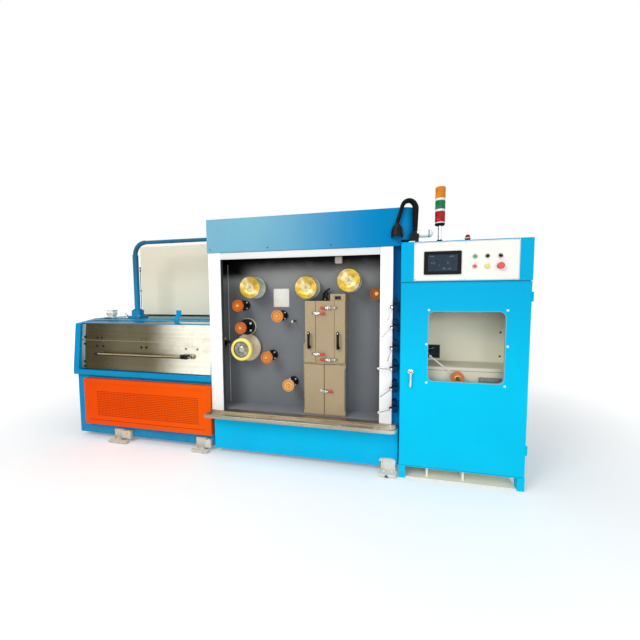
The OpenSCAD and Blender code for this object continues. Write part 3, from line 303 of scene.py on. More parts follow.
M = {
    "blue": paint("blue_enamel", (4, 146, 200), 0.30, 0.05, 0.10, 0.2, 0.08),
    # painted reflection: the header pales towards its left end
    "header": paint("blue_enamel_header_painted_reflection", (110, 166, 186), 0.24, 0.05, 0.10, 0.0, 0.05,
                    [("X", -120, 960, (1, 126, 182))]),
    "skirt": paint("blue_enamel_skirt", (2, 186, 233), 0.30, 0.04, 0.10, 0.05, 0.05),
    # painted shade: a darker copy of the blue for the valve strip, lighter towards the bottom
    "deep": paint("blue_enamel_shaded", (5, 92, 148), 0.34, 0.06, 0.10, 0.0, 0.04,
                  [("Z", 1150, 520, (6, 138, 212))]),
    "bath_blue": paint("blue_enamel_bath", (6, 138, 190), 0.28, 0.07, 0.10, 0.2, 0.06,
                       [("Z", 1122, 1131, (50, 121, 136)), ("Z", 1136, 1139, (6, 138, 190))]),
    # painted shade: the cyan darkens towards the top
    "cyan": paint("cyan_powder_coat_painted_shade", (1, 197, 237), 0.34, 0.03, 0.14, 0.03, 0.05,
                  [("Z", 600, 1500, (1, 169, 216))]),
    # painted shade: the pipe darkens towards the top
    "pipe": paint("blue_enamel_pipe_painted_shade", (26, 98, 128), 0.28, 0.06, 0.10, 0.0, 0.2,
                  [("Z", 1750, 1150, (10, 130, 178))]),
    "orange": paint("orange_powder_coat", (238, 77, 1), 0.42, 0.05, 0.16, 0.1, 0.04,
                    [("X", -1500, -500, (240, 88, 6))]),
    "orange_dark": paint("orange_in_shade", (176, 46, 4), 0.6, 0.08, 0.1, 0.0, 0.05),
    # dark line at the pressed field's lower edge: partly the pressed groove, partly painted shadow of the
    # raised edge
    "orange_shadow_line": paint("orange_groove_painted_shadow", (118, 26, 4), 0.6, 0.08, 0.1, 0.0, 0.05),
    "white": paint("white_powder_coat", (247, 247, 245), 0.40, 0.02, 0.10),
    # painted shade: a darker copy of the white for the head bar
    "head_bar": paint("white_powder_coat_shaded", (220, 220, 218), 0.40, 0.02, 0.10),
    # painted light: the rear cabinet lightens towards the bottom
    "cream": paint("cream_powder_coat_painted_light", (226, 217, 195), 0.42, 0.03, 0.12, 0.0, 0.15,
                   [("Z", 1700, 1250, (242, 235, 213))]),
    # painted shade: the inside darkens towards the top
    "inner": paint("cream_inside_painted_shade", (254, 249, 228), 0.45, 0.03, 0.12, 0.0, 0.1,
                   [("Z", 1080, 1240, (236, 228, 204))],
                   [(*ALL_X, 1150, 1400, (164, 152, 124))]),
    "ledge": paint("cream_ledge", (226, 221, 200), 0.45, 0.03, 0.12, 0.0, 0.1),
    # painted light and shade on the back plate: lighter from z 1330 up, darker under the ceiling, in the
    # top-left corner and towards the right edge beside the post
    "grey": paint("grey_enamel", (117, 120, 124), 0.36, 0.06, 0.12, 0.0, 0.15,
                  [("Z", 1330, 1545, (156, 157, 156))],
                  [(-290, -70, 1510, 1600, (10, 12, 12)), (*ALL_X, 1572, 1700, (6, 7, 6)),
                   (1040, 930, *ALL_Z, (56, 60, 62))]),
    "grey_floor": paint("grey_enamel_floor", (134, 136, 142), 0.45, 0.08, 0.12, 0.0, 0.1),
    # painted shade: a near-black ceiling and a darker grey for walls in shade
    "grey_roof": paint("grey_roof_painted_shade", (14, 15, 14), 0.6, 0.1, 0.12, 0.0, 0.05),
    "grey_wall": paint("grey_wall_painted_shade", (70, 80, 82), 0.4, 0.08, 0.12, 0.0, 0.15),
    "tan": paint("tan_enamel", (168, 149, 117), 0.42, 0.06, 0.16),
    "tan_dark": paint("tan_enamel_edge", (112, 98, 78), 0.5, 0.08, 0.14),
    "flange": paint("stone_enamel", (224, 207, 180), 0.44, 0.06, 0.12),
    "black": paint("black_enamel", (14, 14, 16), 0.32, 0.12, 0.12, 0.0, 0.18),
    "plate": paint("panel_satin", (240, 237, 229), 0.44, 0.02, 0.08),
    "cast": paint("grey_cast_enamel", (208, 202, 188), 0.5, 0.06, 0.3, 0.3, 0.3,
                  [("X", -1300, 400, (228, 228, 220))]),
    # painted reflection: the hood steel is dark on the left and pale on the right
    "hood": brushed("hood_steel_painted_reflection", (58, 51, 28), (70, 62, 38), (3.0, 60.0, 420.0), 0.30, 0.9,
                    [(-1560, -1160, (106, 98, 76)), (-980, -450, (250, 245, 226))], 0.6, 0.3),
    # painted highlight: a lighter steel for the strip along the hood's fold, with the same painted reflection
    "fold": brushed("hood_fold_painted_highlight", (104, 97, 70), (120, 112, 84), (3.0, 60.0, 420.0), 0.30, 0.9,
                    [(-1560, -1160, (140, 131, 106)), (-980, -450, (236, 229, 206))], 0.1, 0.1),
    "edge_strip": paint("hood_edge_strip", (120, 145, 147), 0.4, 0.1, 0.1, 0.0, 0.3,
                        [("Z", 900, 680, (92, 112, 108))]),
    # painted highlight: the tray lightens towards its right end
    "tray": brushed("tray_steel_painted_highlight", (142, 132, 115), (198, 188, 168), (4.0, 300.0, 300.0), 0.30, 0.9,
                    [(900, 1300, (226, 222, 210))], 0.6, 0.5),
    "steel": brushed("plain_steel", (150, 148, 142), (206, 204, 198), (90.0, 90.0, 90.0), 0.28, 1.0, (),
                     0.3, 0.25),
    "bright": moulded("bright_plate", (214, 214, 210), 0.18, 0.05, 0.03, metal=1.0),
    "zinc": moulded("zinc_screw", (205, 204, 196), 0.30, 0.10, 0.1, metal=1.0),
    # painted sheen: brass, hub and wheel disc have light and dark wedges painted round the axis
    "brass": turned("turned_brass_painted_sheen", (194, 164, 68), 0.3, 0.6, 0.45, 0.12),
    "hub": turned("hub_face_painted_sheen", (212, 198, 158), 0.34, 0.4, 0.2, 0.1, 0.5),
    "disc": turned("turned_steel_painted_sheen", (136, 135, 120), 0.3, 0.6, 0.3, 0.4),
    "drum": paint("wire_worn_drum", (226, 235, 220), 0.38, 0.06, 0.1),
    "ring": moulded("pale_yellow_ring", (244, 226, 124), 0.34, 0.05, 0.05, spec=0.15),
    # painted shade: a darker orange in the pulleys' groove
    "pulley_groove": moulded("pulley_groove", (140, 62, 24), 0.5, 0.08, 0.1, spec=0.1),
    "pulley_core": turned("pulley_core", (206, 140, 66), 0.3, 0.5),
    "rubber": moulded("black_rubber", (13, 13, 14), 0.62, 0.2, 0.3, spec=0.12),
    "plastic": moulded("black_plastic", (12, 12, 13), 0.4, 0.15, 0.2, spec=0.15),
    # painted shade: the dark colour of holes, slots and gaps
    "socket": moulded("dark_recess_painted_shade", (34, 33, 31), 0.6, 0.1, 0.1),
    "white_plastic": moulded("white_plastic", (232, 231, 226), 0.4, 0.03, 0.1),
    "paper": moulded("bare_label", (232, 229, 218), 0.6, 0.04, 0.05),
    "red_grip": moulded("red_grip", (206, 44, 58), 0.42, 0.06, 0.1),
    "yellow": moulded("yellow_sticker", (226, 190, 60), 0.5, 0.05, 0.05),
    "green_cap": moulded("green_cap", (58, 150, 104), 0.35, 0.05, 0.05),
    "red_cap": moulded("red_cap", (214, 74, 70), 0.35, 0.05, 0.05),
    "yellow_cap": moulded("yellow_cap", (232, 216, 84), 0.35, 0.05, 0.05),
    "amber": moulded("amber_lens", (208, 122, 8), 0.22, 0.08, 0.03, spec=0.2),
    "green": moulded("green_lens", (4, 110, 70), 0.22, 0.08, 0.03, spec=0.2),
    "red": moulded("red_lens", (164, 16, 28), 0.22, 0.08, 0.03, spec=0.2),
    "clear": moulded("clear_sleeve", (234, 235, 234), 0.2, 0.03, 0.03),
    "screen": moulded("dark_screen", (42, 54, 66), 0.22, 0.12, 0.02, spec=0.1),
    "screen_lit": moulded("screen_field", (78, 92, 104), 0.26, 0.08, 0.02, spec=0.1),
    "glass": moulded("clear_sheet", (96, 106, 106), 0.05, 0.01, 0.02, alpha=0.03, spec=0.1),
    "lip": moulded("rolled_steel_lip", (156, 147, 125), 0.26, 0.08, 0.05, metal=0.9),
    "valve_blue": moulded("dark_blue_valve", (5, 44, 78), 0.4, 0.12, 0.1, spec=0.08),
    "grey_block": paint("grey_block", (138, 132, 118), 0.5, 0.08, 0.2),
    "gasket": moulded("pale_gasket", (150, 176, 184), 0.5, 0.1, 0.1),
    "pan": paint("pale_floor_pan", (253, 248, 232), 0.5, 0.03, 0.1),
    "gland": moulded("gland_plastic", (240, 238, 232), 0.4, 0.02, 0.1),
    "lever": moulded("lever_steel", (156, 156, 158), 0.3, 0.06, 0.05, metal=0.6),
    "rod": moulded("oiled_rod", (176, 156, 116), 0.3, 0.1, 0.05, metal=0.8),
    "lock": moulded("worn_lock", (150, 140, 120), 0.34, 0.1, 0.05, metal=0.7),
    # painted light: a lighter sheet for the annealer's right side, bluer low down as painted reflection
    "side": paint("annealer_side_painted_light", (160, 148, 126), 0.42, 0.06, 0.12, 0.0, 0.1,
                  [("Z", 1000, 620, (120, 142, 154))]),
    "dark_steel": moulded("oily_steel", (88, 80, 66), 0.3, 0.12, 0.05, metal=0.8),
    "drum_edge": moulded("brass_edge", (206, 190, 112), 0.34, 0.1, 0.05, metal=0.6),
    "brass_dark": moulded("dulled_brass", (126, 96, 50), 0.5, 0.1, 0.1, metal=0.4),
    "pulley_soft": moulded("pale_orange_pulley", (206, 128, 78), 0.42, 0.06, 0.1, spec=0.15),
    "sensor": moulded("pale_pink_plastic", (230, 216, 206), 0.4, 0.04, 0.1),
    "recess": moulded("recess_back", (16, 24, 40), 0.5, 0.2, 0.2, spec=0.05),
    "bezel": moulded("bezel_plastic", (10, 15, 20), 0.34, 0.08, 0.1, spec=0.1),
    "bezel_ring": moulded("operator_ring", (188, 186, 178), 0.26, 0.05, 0.04, metal=0.7),
    "cyan_dark": paint("cyan_joint", (2, 110, 150), 0.5, 0.05, 0.1),
    "seam_pale": moulded("seam_shadow_pale", (120, 116, 104), 0.8, 0.1, 0.1),
}

# lighter and darker copies of one orange, one for each pulley, as painted light and shade
PULLEY_LIGHT_AND_SHADE = [(194, 96, 26), (220, 142, 70), (194, 102, 46), (208, 126, 58), (226, 168, 100), (150, 84, 44)]
for k, tone in enumerate(PULLEY_LIGHT_AND_SHADE):
    M["pulley_%d" % (k + 1)] = moulded("orange_pulley_%d" % (k + 1), tone, 0.36, 0.08, 0.1, spec=0.15)


# Shapes

def turned_to(place, degrees, axis="Y"):
    """A place turned about an axis through it."""
    return Matrix.Translation(place) @ Matrix.Rotation(math.radians(degrees), 4, axis)


def frame_of(axis):
    """Turns the Z axis to a direction."""
    return Vector(axis).normalized().to_track_quat("Z", "Y").to_matrix().to_4x4()


def circle(r, n):
    """Points round a circle."""
    return [(r * math.cos(2 * math.pi * k / n), r * math.sin(2 * math.pi * k / n)) for k in range(n)]


def arc(x, z, r, degrees):
    """Points on a circle, at angles in degrees."""
    return [(x + r * math.cos(math.radians(a)), z + r * math.sin(math.radians(a))) for a in degrees]


_boxes = {}


def soft_box(dx, dy, dz, r, seg):
    """Points and faces of a box with eased edges, kept for the next one of that size."""
    key = tuple(round(v, 3) for v in (dx, dy, dz, r)) + (seg,)
    if key not in _boxes:
        bm = bmesh.new()
        bmesh.ops.create_cube(bm, size=1.0)
        for v in bm.verts:
            v.co = Vector((v.co.x * dx, v.co.y * dy, v.co.z * dz))
        if r > 0:
            bmesh.ops.bevel(bm, geom=bm.edges[:], offset=min(r, 0.49 * min(dx, dy, dz)), segments=seg,
                            profile=0.5, affect="EDGES")
        bm.verts.index_update()
        _boxes[key] = ([v.co.copy() for v in bm.verts], [[v.index for v in f.verts] for f in bm.faces])
        bm.free()
    return _boxes[key]


class Piece:
    """Collects shapes into one mesh, with a material for each."""

    def __init__(self):
        self.verts, self.faces, self.slots, self.mats = [], [], [], []

    def add(self, verts, faces, mat, place=None):
        start = len(self.verts)
        self.verts += [tuple(place @ Vector(v)) for v in verts] if place else [tuple(v) for v in verts]
        self.skin([[start + i for i in f] for f in faces], mat)

    def skin(self, faces, mat):
        """Faces between points that are there already."""
        if mat not in self.mats:
            self.mats.append(mat)
        self.faces += faces
        self.slots += [self.mats.index(mat)] * len(faces)

    def box(self, x0, x1, y0, y1, z0, z1, mat, r=1.0, seg=2, turn=None):
        verts, faces = soft_box(abs(x1 - x0), abs(y1 - y0), abs(z1 - z0), r, seg)
        mid = Vector(((x0 + x1) / 2, (y0 + y1) / 2, (z0 + z1) / 2))
        self.add(verts, faces, mat, (turn or Matrix.Identity(4)) @ Matrix.Translation(mid))

    def lathe(self, base, axis, profile, mats, n=40):
        """Profile of (radius, distance along the axis); a single material or one for each step."""
        place = Matrix.Translation(Vector(base)) @ frame_of(axis)
        rings = []
        for r, t in profile:
            points = [(a, b, t) for a, b in circle(r, n)] if r else [(0, 0, t)]
            rings.append([len(self.verts) + k for k in range(len(points))])
            self.verts += [tuple(place @ Vector(v)) for v in points]
        for i, (a, b) in enumerate(zip(rings, rings[1:])):
            faces = []
            for k in range(n if len(a) + len(b) > 2 else 0):
                q = (k + 1) % n
                corners = (a[k % len(a)], b[k % len(b)], b[q % len(b)], a[q % len(a)])
                faces.append(tuple(dict.fromkeys(corners)))
            self.skin(faces, mats[i] if isinstance(mats, list) else mats)

    def rod(self, p, q, r, mat, n=24):
        """Round bar between two points, with its ends eased."""
        p, q = Vector(p), Vector(q)
        h = (q - p).length
        e = min(0.6, r * 0.4, h * 0.4)
        self.lathe(p, q - p, [(0, 0), (r - e, 0), (r, e), (r, h - e), (r - e, h), (0, h)], mat, n)

    def ring(self, p, axis, r0, r1, h, mat, n=40, e=0.6):
        self.lathe(p, axis, [(r0, e), (r0 + e, 0), (r1 - e, 0), (r1, e), (r1, h - e), (r1 - e, h),
                             (r0 + e, h),
                             (r0, h - e), (r0, e)], mat, n)

    def screw(self, p, axis, r, mat, h, n):
        """Cap screw with a socket."""
        self.lathe(p, axis, [(0, h * 0.35), (r * 0.48, h * 0.35), (r * 0.52, h), (r * 0.86, h), (r, h * 0.78),
                             (r, 0), (0, 0)], ["socket", mat, mat, mat, mat, mat], n)

    def tube(self, points, r, mat, n=14):
        """Bent bar through points, with one radius or one for each point."""
        pts = [Vector(p) for p in points]
        rings, ref = [], None
        for i, p in enumerate(pts):
            d = (pts[min(i + 1, len(pts) - 1)] - pts[max(i - 1, 0)]).normalized()
            if ref is None:
                ref = d.orthogonal().normalized()
            ref = (ref - d * ref.dot(d)).normalized()
            side = d.cross(ref)
            radius = r[i] if isinstance(r, list) else r
            rings.append([p + radius * (a * ref + b * side) for a, b in circle(1, n)])
        self.loft(rings, mat, first=True, last=True)

    def slab(self, outline, plane, a, b, mat):
        """Outline of points in a plane ('xz', 'yz' or 'xy'), from a to b along the third axis."""
        order = {"xz": lambda p, t: (p[0], t, p[1]), "yz": lambda p, t: (t, p[0], p[1]),
                 "xy": lambda p, t: (p[0], p[1], t)}[plane]
        self.prism([order(p, a) for p in outline], [order(p, b) for p in outline], mat)

    def prism(self, near, far, mat, place=None):
        """Solid between two outlines that have as many points each."""
        n = len(near)
        faces = [tuple(range(n)), tuple(range(2 * n - 1, n - 1, -1))]
        faces += [(k, (k + 1) % n, n + (k + 1) % n, n + k) for k in range(n)]
        self.add(near + far, faces, mat, place)

    def plug(self, place, along, r, proud, mat):
        """Low round plug that stands in a rotor's face."""
        rim = [(along + a, b) for a, b in circle(r, 14)]
        self.prism([(a, proud, b) for a, b in rim], [(a, 4.0, b) for a, b in rim], mat, place)

    def screws(self, points, axis, r, mat, h, n=12):
        for point in points:
            self.screw(point, axis, r, mat, h, n)

    def steps(self, base, steps, n):
        """Turned form towards the back, from (radius, distance, finish up to the next step)."""
        self.lathe(base, BACK, [(r, t) for r, t, m in steps], [m for r, t, m in steps], n)

    def loft(self, rings, mat, first=False, last=False):
        """Joins outlines with as many points each; first and last close an end."""
        n = len(rings[0])
        verts = [v for r in rings for v in r]
        faces = [(i * n + k, i * n + (k + 1) % n, (i + 1) * n + (k + 1) % n, (i + 1) * n + k)
                 for i in range(len(rings) - 1) for k in range(n)]
        if first:
            faces.append(tuple(range(n))[::-1])
        if last:
            faces.append(tuple(range((len(rings) - 1) * n, len(rings) * n)))
        self.add(verts, faces, mat)

    def ring_rect(self, x0, x1, z0, z1, w, ya, yb, mat):
        """Flat frame of bars round a square opening."""
        for xa, xb, za, zb in ((x0, x1, z1 - w, z1), (x0, x1, z0, z0 + w), (x0, x0 + w, z0 + w, z1 - w),
                               (x1 - w, x1, z0 + w, z1 - w)):
            self.box(xa, xb, ya, yb, za, zb, mat, 0.6, 1)

    def ring_round(self, x0, x1, z0, z1, r, w, ya, yb, mat):
        """Closed band inside a rounded opening."""
        def line(i, y):
            return [(x, y, z) for x, z in rounded(x0 + i, x1 - i, z0 + i, z1 - i, r - i, 8)]
        self.loft([line(0, ya), line(w, ya), line(w, yb), line(0, yb), line(0, ya)], mat)

    def done(self, name, body, stands_for=(), angle=32, at=(0, 0, 0)):
        """Makes the object, with its origin at a place where turned finishes need their centre."""
        mesh = bpy.data.meshes.new(name)
        mesh.from_pydata([tuple((c - o) * MM for c, o in zip(v, at)) for v in self.verts], [], self.faces)
        for m in self.mats:
            mesh.materials.append(M[m])
        mesh.polygons.foreach_set("material_index", self.slots)
        bm = bmesh.new()
        bm.from_mesh(mesh)
        bmesh.ops.remove_doubles(bm, verts=bm.verts[:], dist=2e-6)
        bmesh.ops.recalc_face_normals(bm, faces=bm.faces[:])
        bm.to_mesh(mesh)
        bm.free()
        mesh.polygons.foreach_set("use_smooth", [True] * len(mesh.polygons))
        mesh.set_sharp_from_angle(angle=math.radians(angle))
        obj = bpy.data.objects.new(name, mesh)
        obj.location = [o * MM for o in at]
        bpy.context.scene.collection.objects.link(obj)
        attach(obj, body)
        if stands_for:
            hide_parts(*stands_for)


def rounded(x0, x1, z0, z1, r, n=6):
    """Corner points of a rounded rectangle."""
    out = []
    for cx, cz, a in ((x1 - r, z1 - r, 0), (x0 + r, z1 - r, 90), (x0 + r, z0 + r, 180),
                      (x1 - r, z0 + r, 270)):
        out += arc(cx, cz, r, [a + 90 * k / n for k in range(n + 1)])
    return out


def dress(node, mat, width):
    """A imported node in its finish, with its edges eased where they are broken on the real piece."""
    obj = frame["nodes"][node]
    for s in obj.material_slots:
        s.material = M[mat]
    if not obj.material_slots:
        obj.data.materials.append(M[mat])
    if width:
        weld = obj.modifiers.new("weld", "WELD")
        weld.merge_threshold = 0.00002
        bevel = obj.modifiers.new("edges", "BEVEL")
        bevel.width = width * MM
        bevel.segments = 2
        bevel.limit_method = "ANGLE"
        bevel.angle_limit = math.radians(50)
        bevel.harden_normals = False
        bevel.use_clamp_overlap = True


DRESSED = [
    ("draw_casing", "bath_blue", 2.0), ("hood_cover", "hood", 0), ("hood_frame", "bath_blue", 0.8),
    ("conduit_pipe", "pipe", 0), ("rear_cabinet", "cream", 3.0), ("rear_plinth", "black", 1.5),
    ("main_casing", "blue", 2.0), ("cavity_surround", "blue", 0),
    ("front_skirt", "skirt", 1.5), ("top_header", "header", 3.0), ("back_plate", "grey", 0),
    ("drip_tray", "tray", 0),
    ("annealer_body", "tan", 1.2), ("annealer_door_l", "tan", 1.0), ("annealer_door_r", "tan", 1.0),
    ("wheel_flange", "flange", 1.2), ("spooler_shell", "cyan", 2.5),
    ("spooler_base", "pan", 1.0), ("spooler_inside", "inner", 1.0), ("spooler_door", "cyan", 2.5),
    ("door_window", "glass", 0), ("control_panel", "plate", 0.8),
]
for row in DRESSED:
    dress(*row)


# Camera, solved from the photograph's straight edges
CAMERA = Vector((1.042, -2.940, 1.330))
YAW, PITCH, ROLL = 0.2275375, 0.0691981, -0.0040122


def add_camera():
    """The photograph's camera, in metres."""
    ahead = Vector((-math.sin(YAW) * math.cos(PITCH), math.cos(YAW) * math.cos(PITCH), -math.sin(PITCH)))
    right = Vector((math.cos(YAW), math.sin(YAW), 0))
    up = right.cross(ahead)
    across = right * math.cos(ROLL) + up * math.sin(ROLL)
    top = up * math.cos(ROLL) - right * math.sin(ROLL)
    data = bpy.data.cameras.new("camera")
    data.lens = 18.0
    data.sensor_width = 36.0
    data.clip_start = 0.05
    data.clip_end = 200.0
    cam = bpy.data.objects.new("camera", data)
    bpy.context.scene.collection.objects.link(cam)
    turn = Matrix((across, top, -ahead)).transposed().to_4x4()
    cam.matrix_world = Matrix.Translation(CAMERA) @ turn
    bpy.context.scene.camera = cam


add_camera()


def body_of(node):
    """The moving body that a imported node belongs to."""
    return frame["nodes"][node]["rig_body"]


def face_y(z):
    """Front face of the hood's leaning sheets at a height."""
    if z < Z_FOLD:
        return Y_HOOD + (z - HOOD_Z) / (Z_FOLD - HOOD_Z) * (Y_FOLD - Y_HOOD)
    return Y_FOLD + (z - Z_FOLD) / (Z_LID - Z_FOLD) * (Y_LID - Y_FOLD)


# Drawing section
G_X0, G_X1, G_Z0, G_Z1 = X_MAIN - 1333, X_MAIN - 3, 150, 583
HOLE_PITCH, HOLE_R = 16.0, 4.6
HOLES_X, HOLES_Z = 67, 15
HOLE_X0, HOLE_Z0 = -1664, 234
GROOVE_SHADOW_X0, GROOVE_SHADOW_X1, GROOVE_SHADOW_Z = -1758, -535, 187
BOLT_XS = (-1695, -1623, -1199, -1145, -737, -623)
PLUGS = ((-1690, 12), (-1640, 12), (-1195, 6), (-1150, 6))
EDGE_BOLT_ZS = (965, 901, 734, 690)
STRIP_Z0, STRIP_Z1 = 672, 1090
ROD_Z0, ROD_Z1 = 1143, 1690
ROD_HINGE_ZS = (1172, 1420, 1649, 1680)
REAR_LOCK_ZS, REAR_HINGE_ZS = (620, 1320), (300, 980, 1700)


def rect3(x0, x1, z0, z1, y, r=0.0, n=2):
    return [(x, y, z) for x, z in rounded(x0, x1, z0, z1, r, n)]


def guard_sheet():
    """Pressed guard with a raised border, a sunk field and about a thousand drilled holes."""
    p = Piece()
    y = Y_GUARD + 4
    x1, z1 = HOLE_X0 + HOLES_X * HOLE_PITCH, HOLE_Z0 + HOLES_Z * HOLE_PITCH
    rings = [rect3(G_X0 + side, G_X1 - side, G_Z0 + low, G_Z1 - high, at, r) for side, low, high, at, r in (
        (0, 0, 0, Y_BASE, 4), (0, 0, 0, Y_GUARD + 2.5, 4), (2.5, 2.5, 2.5, Y_GUARD, 4),
        (38, 40, 34, Y_GUARD, 8), (41, 43, 37, y - 1, 8), (44, 46, 40, y, 8))]
    p.loft(rings + [rect3(HOLE_X0, x1, HOLE_Z0, z1, y)], "orange", first=True)
    h = HOLE_PITCH / 2
    square = [(h, 0), (h, h), (0, h), (-h, h), (-h, 0), (-h, -h), (0, -h), (h, -h)]
    hole = circle(HOLE_R, 8)
    for i in range(HOLES_X):
        for j in range(HOLES_Z):
            cx, cz = HOLE_X0 + (i + 0.5) * HOLE_PITCH, HOLE_Z0 + (j + 0.5) * HOLE_PITCH
            verts = [(cx + a, y, cz + b) for a, b in square] + [(cx + a, y, cz + b) for a, b in hole]
            verts += [(cx + a, y + 5, cz + b) for a, b in hole]
            side = [(k, (k + 1) % 8, 8 + (k + 1) % 8, 8 + k) for k in range(8)]
            wall = [(8 + k, 8 + (k + 1) % 8, 16 + (k + 1) % 8, 16 + k) for k in range(8)]
            p.add(verts, side, "orange")
            p.add(verts[8:], [tuple(i - 8 for i in f) for f in wall], "orange_dark")
            p.add(verts[16:], [tuple(range(8))], "orange_dark")
    # dark line at the pressed field's lower edge: partly the pressed groove, partly painted shadow of the
    # raised edge
    p.box(GROOVE_SHADOW_X0, GROOVE_SHADOW_X1, y - 1.2, y + 1, GROOVE_SHADOW_Z, GROOVE_SHADOW_Z + 9, "orange_shadow_line", 0.5, 1)
    for x in (G_X0 + 18, (G_X0 + G_X1) / 2, G_X1 - 18):
        for z in (G_Z0 + 20, G_Z1 - 18):
            p.screw((x, Y_GUARD, z), FRONT, 5, "orange", 2.5, 12)
    p.done("guard_sheet", body_of("draw_guard"), ["draw_guard"])


def hood_details():
    """Bolts, the bright edge strip, and a lighter strip along the fold as a painted highlight on the hood's
    sheets.
    """
    p = Piece()
    for x in BOLT_XS:
        y = face_y(BOLT_Z)
        mat = "black" if x < -1100 else "lip"
        p.lathe((x, y, BOLT_Z), FRONT, [(0, 6), (7, 6), (9.5, 4.5), (9.5, 1), (13, 1), (13, 0), (0, 0)],
                mat, 6)
    for x, r in PLUGS:
        p.lathe((x, face_y(PLUG_Z), PLUG_Z), FRONT, [(0, 2.6), (r - 2, 2), (r, 0), (0, 0)], "plastic", 14)
    for z0, z1 in ((STRIP_Z0, Z_FOLD - 4), (Z_FOLD + 4, STRIP_Z1)):
        a, b = face_y(z0), face_y(z1)
        p.slab([(a - 1.5, z0), (b - 1.5, z1), (b + 1, z1), (a + 1, z0)], "yz", X_HOOD + 1, X_HOOD + 42,
               "edge_strip")
    # painted highlight: a lighter strip along the fold
    y = face_y(Z_FOLD)
    p.slab([(face_y(Z_FOLD - 3) - 1.2, Z_FOLD - 3), (y - 2, Z_FOLD), (face_y(Z_FOLD + 3) - 1.2, Z_FOLD + 3),
            (y + 1, Z_FOLD)], "yz", X_HOOD + 2, X_HOOD_R - 2, "fold")
    for z in EDGE_BOLT_ZS:
        p.lathe((X_HOOD + 38, face_y(z) - 1.5, z), FRONT, [(0, 3), (10, 2.4), (13, 0), (0, 0)], "plastic", 14)
    p.done("hood_details", "hood")


def hood_rod():
    """Handle rod on two stand-offs, with its grip block and round lock."""
    p = Piece()
    z, y = ROD_Z, Y_HOOD - 45
    x0, x1 = ROD_X, ROD_X + ROD_L
    p.lathe((x0, y, z), RIGHT, [(0, 0), (9, 1), (11, 3), (11, 30), (9, 33), (9, 34), (0, 34)], "plastic", 24)
    p.rod((x0 + 30, y, z + 2), (x1 + 6, y, z + 2), 6, "rod")
    # black bar under the rod gives its dark underside as painted shade
    p.rod((x0 + 30, y + 3, z - 6), (x1 + 6, y + 3, z - 6), 6.5, "plastic")
    for x in (x0 + 30, x1 - 22):
        p.rod((x, y + 4, z), (x, face_y(z) + 1, z), 8, "dark_steel")
        p.lathe((x, face_y(z), z), FRONT, [(0, 4), (13, 4), (15, 2), (15, -1), (0, -1)], "dark_steel", 28)
    for a, b in ((x1, x1 + 28), (x1 + 32, x1 + 62)):
        p.box(a, b, y + 8, face_y(z), z - 19, z + 19, "plastic", 5, 3)
        p.box(a + 6, b - 6, y + 2, y + 12, z - 11, z + 11, "black", 4, 3)
    c = (x1 + 97, face_y(z), z)
    p.lathe(c, FRONT, [(0, 22), (6, 22), (8, 26), (14, 28), (18, 25), (18, 4), (22, 2), (22, -1), (0, -1)],
            ["socket", "dark_steel", "lock", "lock", "lock", "dark_steel", "dark_steel",
             "dark_steel"], 32)
    p.rod((x1 + 60, y + 22, z), (x1 + 82, y + 22, z), 5, "steel")
    p.done("hood_rod", body_of("hood_handle"), ["hood_handle"])


def deck_fittings():
    """Conduit couplings and bolts, gland box on its bar, and the hook on the deck."""
    p = Piece()
    for dx in (-56, 56):
        for dy in (-46, 46):
            p.lathe((PIPE_X + dx, PIPE_Y + dy, Z_DECK + 22), UP,
                    [(0, 7), (7, 7), (8.5, 5.5), (8.5, 0), (0, 0)],
                    "zinc", 6)
    p.ring((PIPE_X, PIPE_Y, Z_DECK + 82), UP, 24, 40, 12, "pipe", 32, 3)
    p.ring((X_MAIN - 26, PIPE_Y, PIPE_Z), RIGHT, 17, 28, 20, "pipe", 32, 3)
    p.done("conduit_fittings", "frame")

    p = Piece()
    x0, y0, z0 = X_DRAW + 118, Y_DECK + 10, Z_DECK + 30
    p.box(x0, x0 + 86, y0, y0 + 60, z0, z0 + 40, "gland", 5, 3)
    p.box(x0 - 1, x0 + 87, y0 - 1, y0 + 61, z0 + 41, z0 + 56, "gland", 5, 3)
    for dx in (9, 77):
        for dy in (9, 51):
            p.screw((x0 + dx, y0 + dy, z0 + 56), UP, 4, "zinc", 1.5, 12)
    for dx in (24, 60):
        p.lathe((x0 + dx, y0, z0 + 20), FRONT, [(0, 16), (7, 16), (9, 12), (9, 6), (12, 5), (12, 0), (0, 0)],
                "gland", 12)
    p.box(x0 + 8, x0 + 78, y0 + 6, y0 + 54, Z_DECK, z0 + 1, "gland", 3, 2)
    p.done("gland_box", "frame", ["junction_box"])

    p = Piece()
    x, y = HOOK_X, Y_DECK + 40
    p.box(x - 24, x + 24, y - 14, y + 14, Z_DECK - 0.5, Z_DECK + 5, "bright", 1.5)
    path = [(x, y, Z_DECK + 3), (x, y, Z_DECK + 22), (x + 6, y, Z_DECK + 30)]
    path += [(a, y, b) for a, b in arc(x - 6, Z_DECK + 36, 12, range(0, 231, 23))]
    p.tube(path, 5.5, "bright", 12)
    p.lathe((x, y, Z_DECK + 5), UP, [(0, 10), (9, 10), (11, 8), (11, 0), (0, 0)], "bright", 16)
    p.done("deck_hook", "frame")


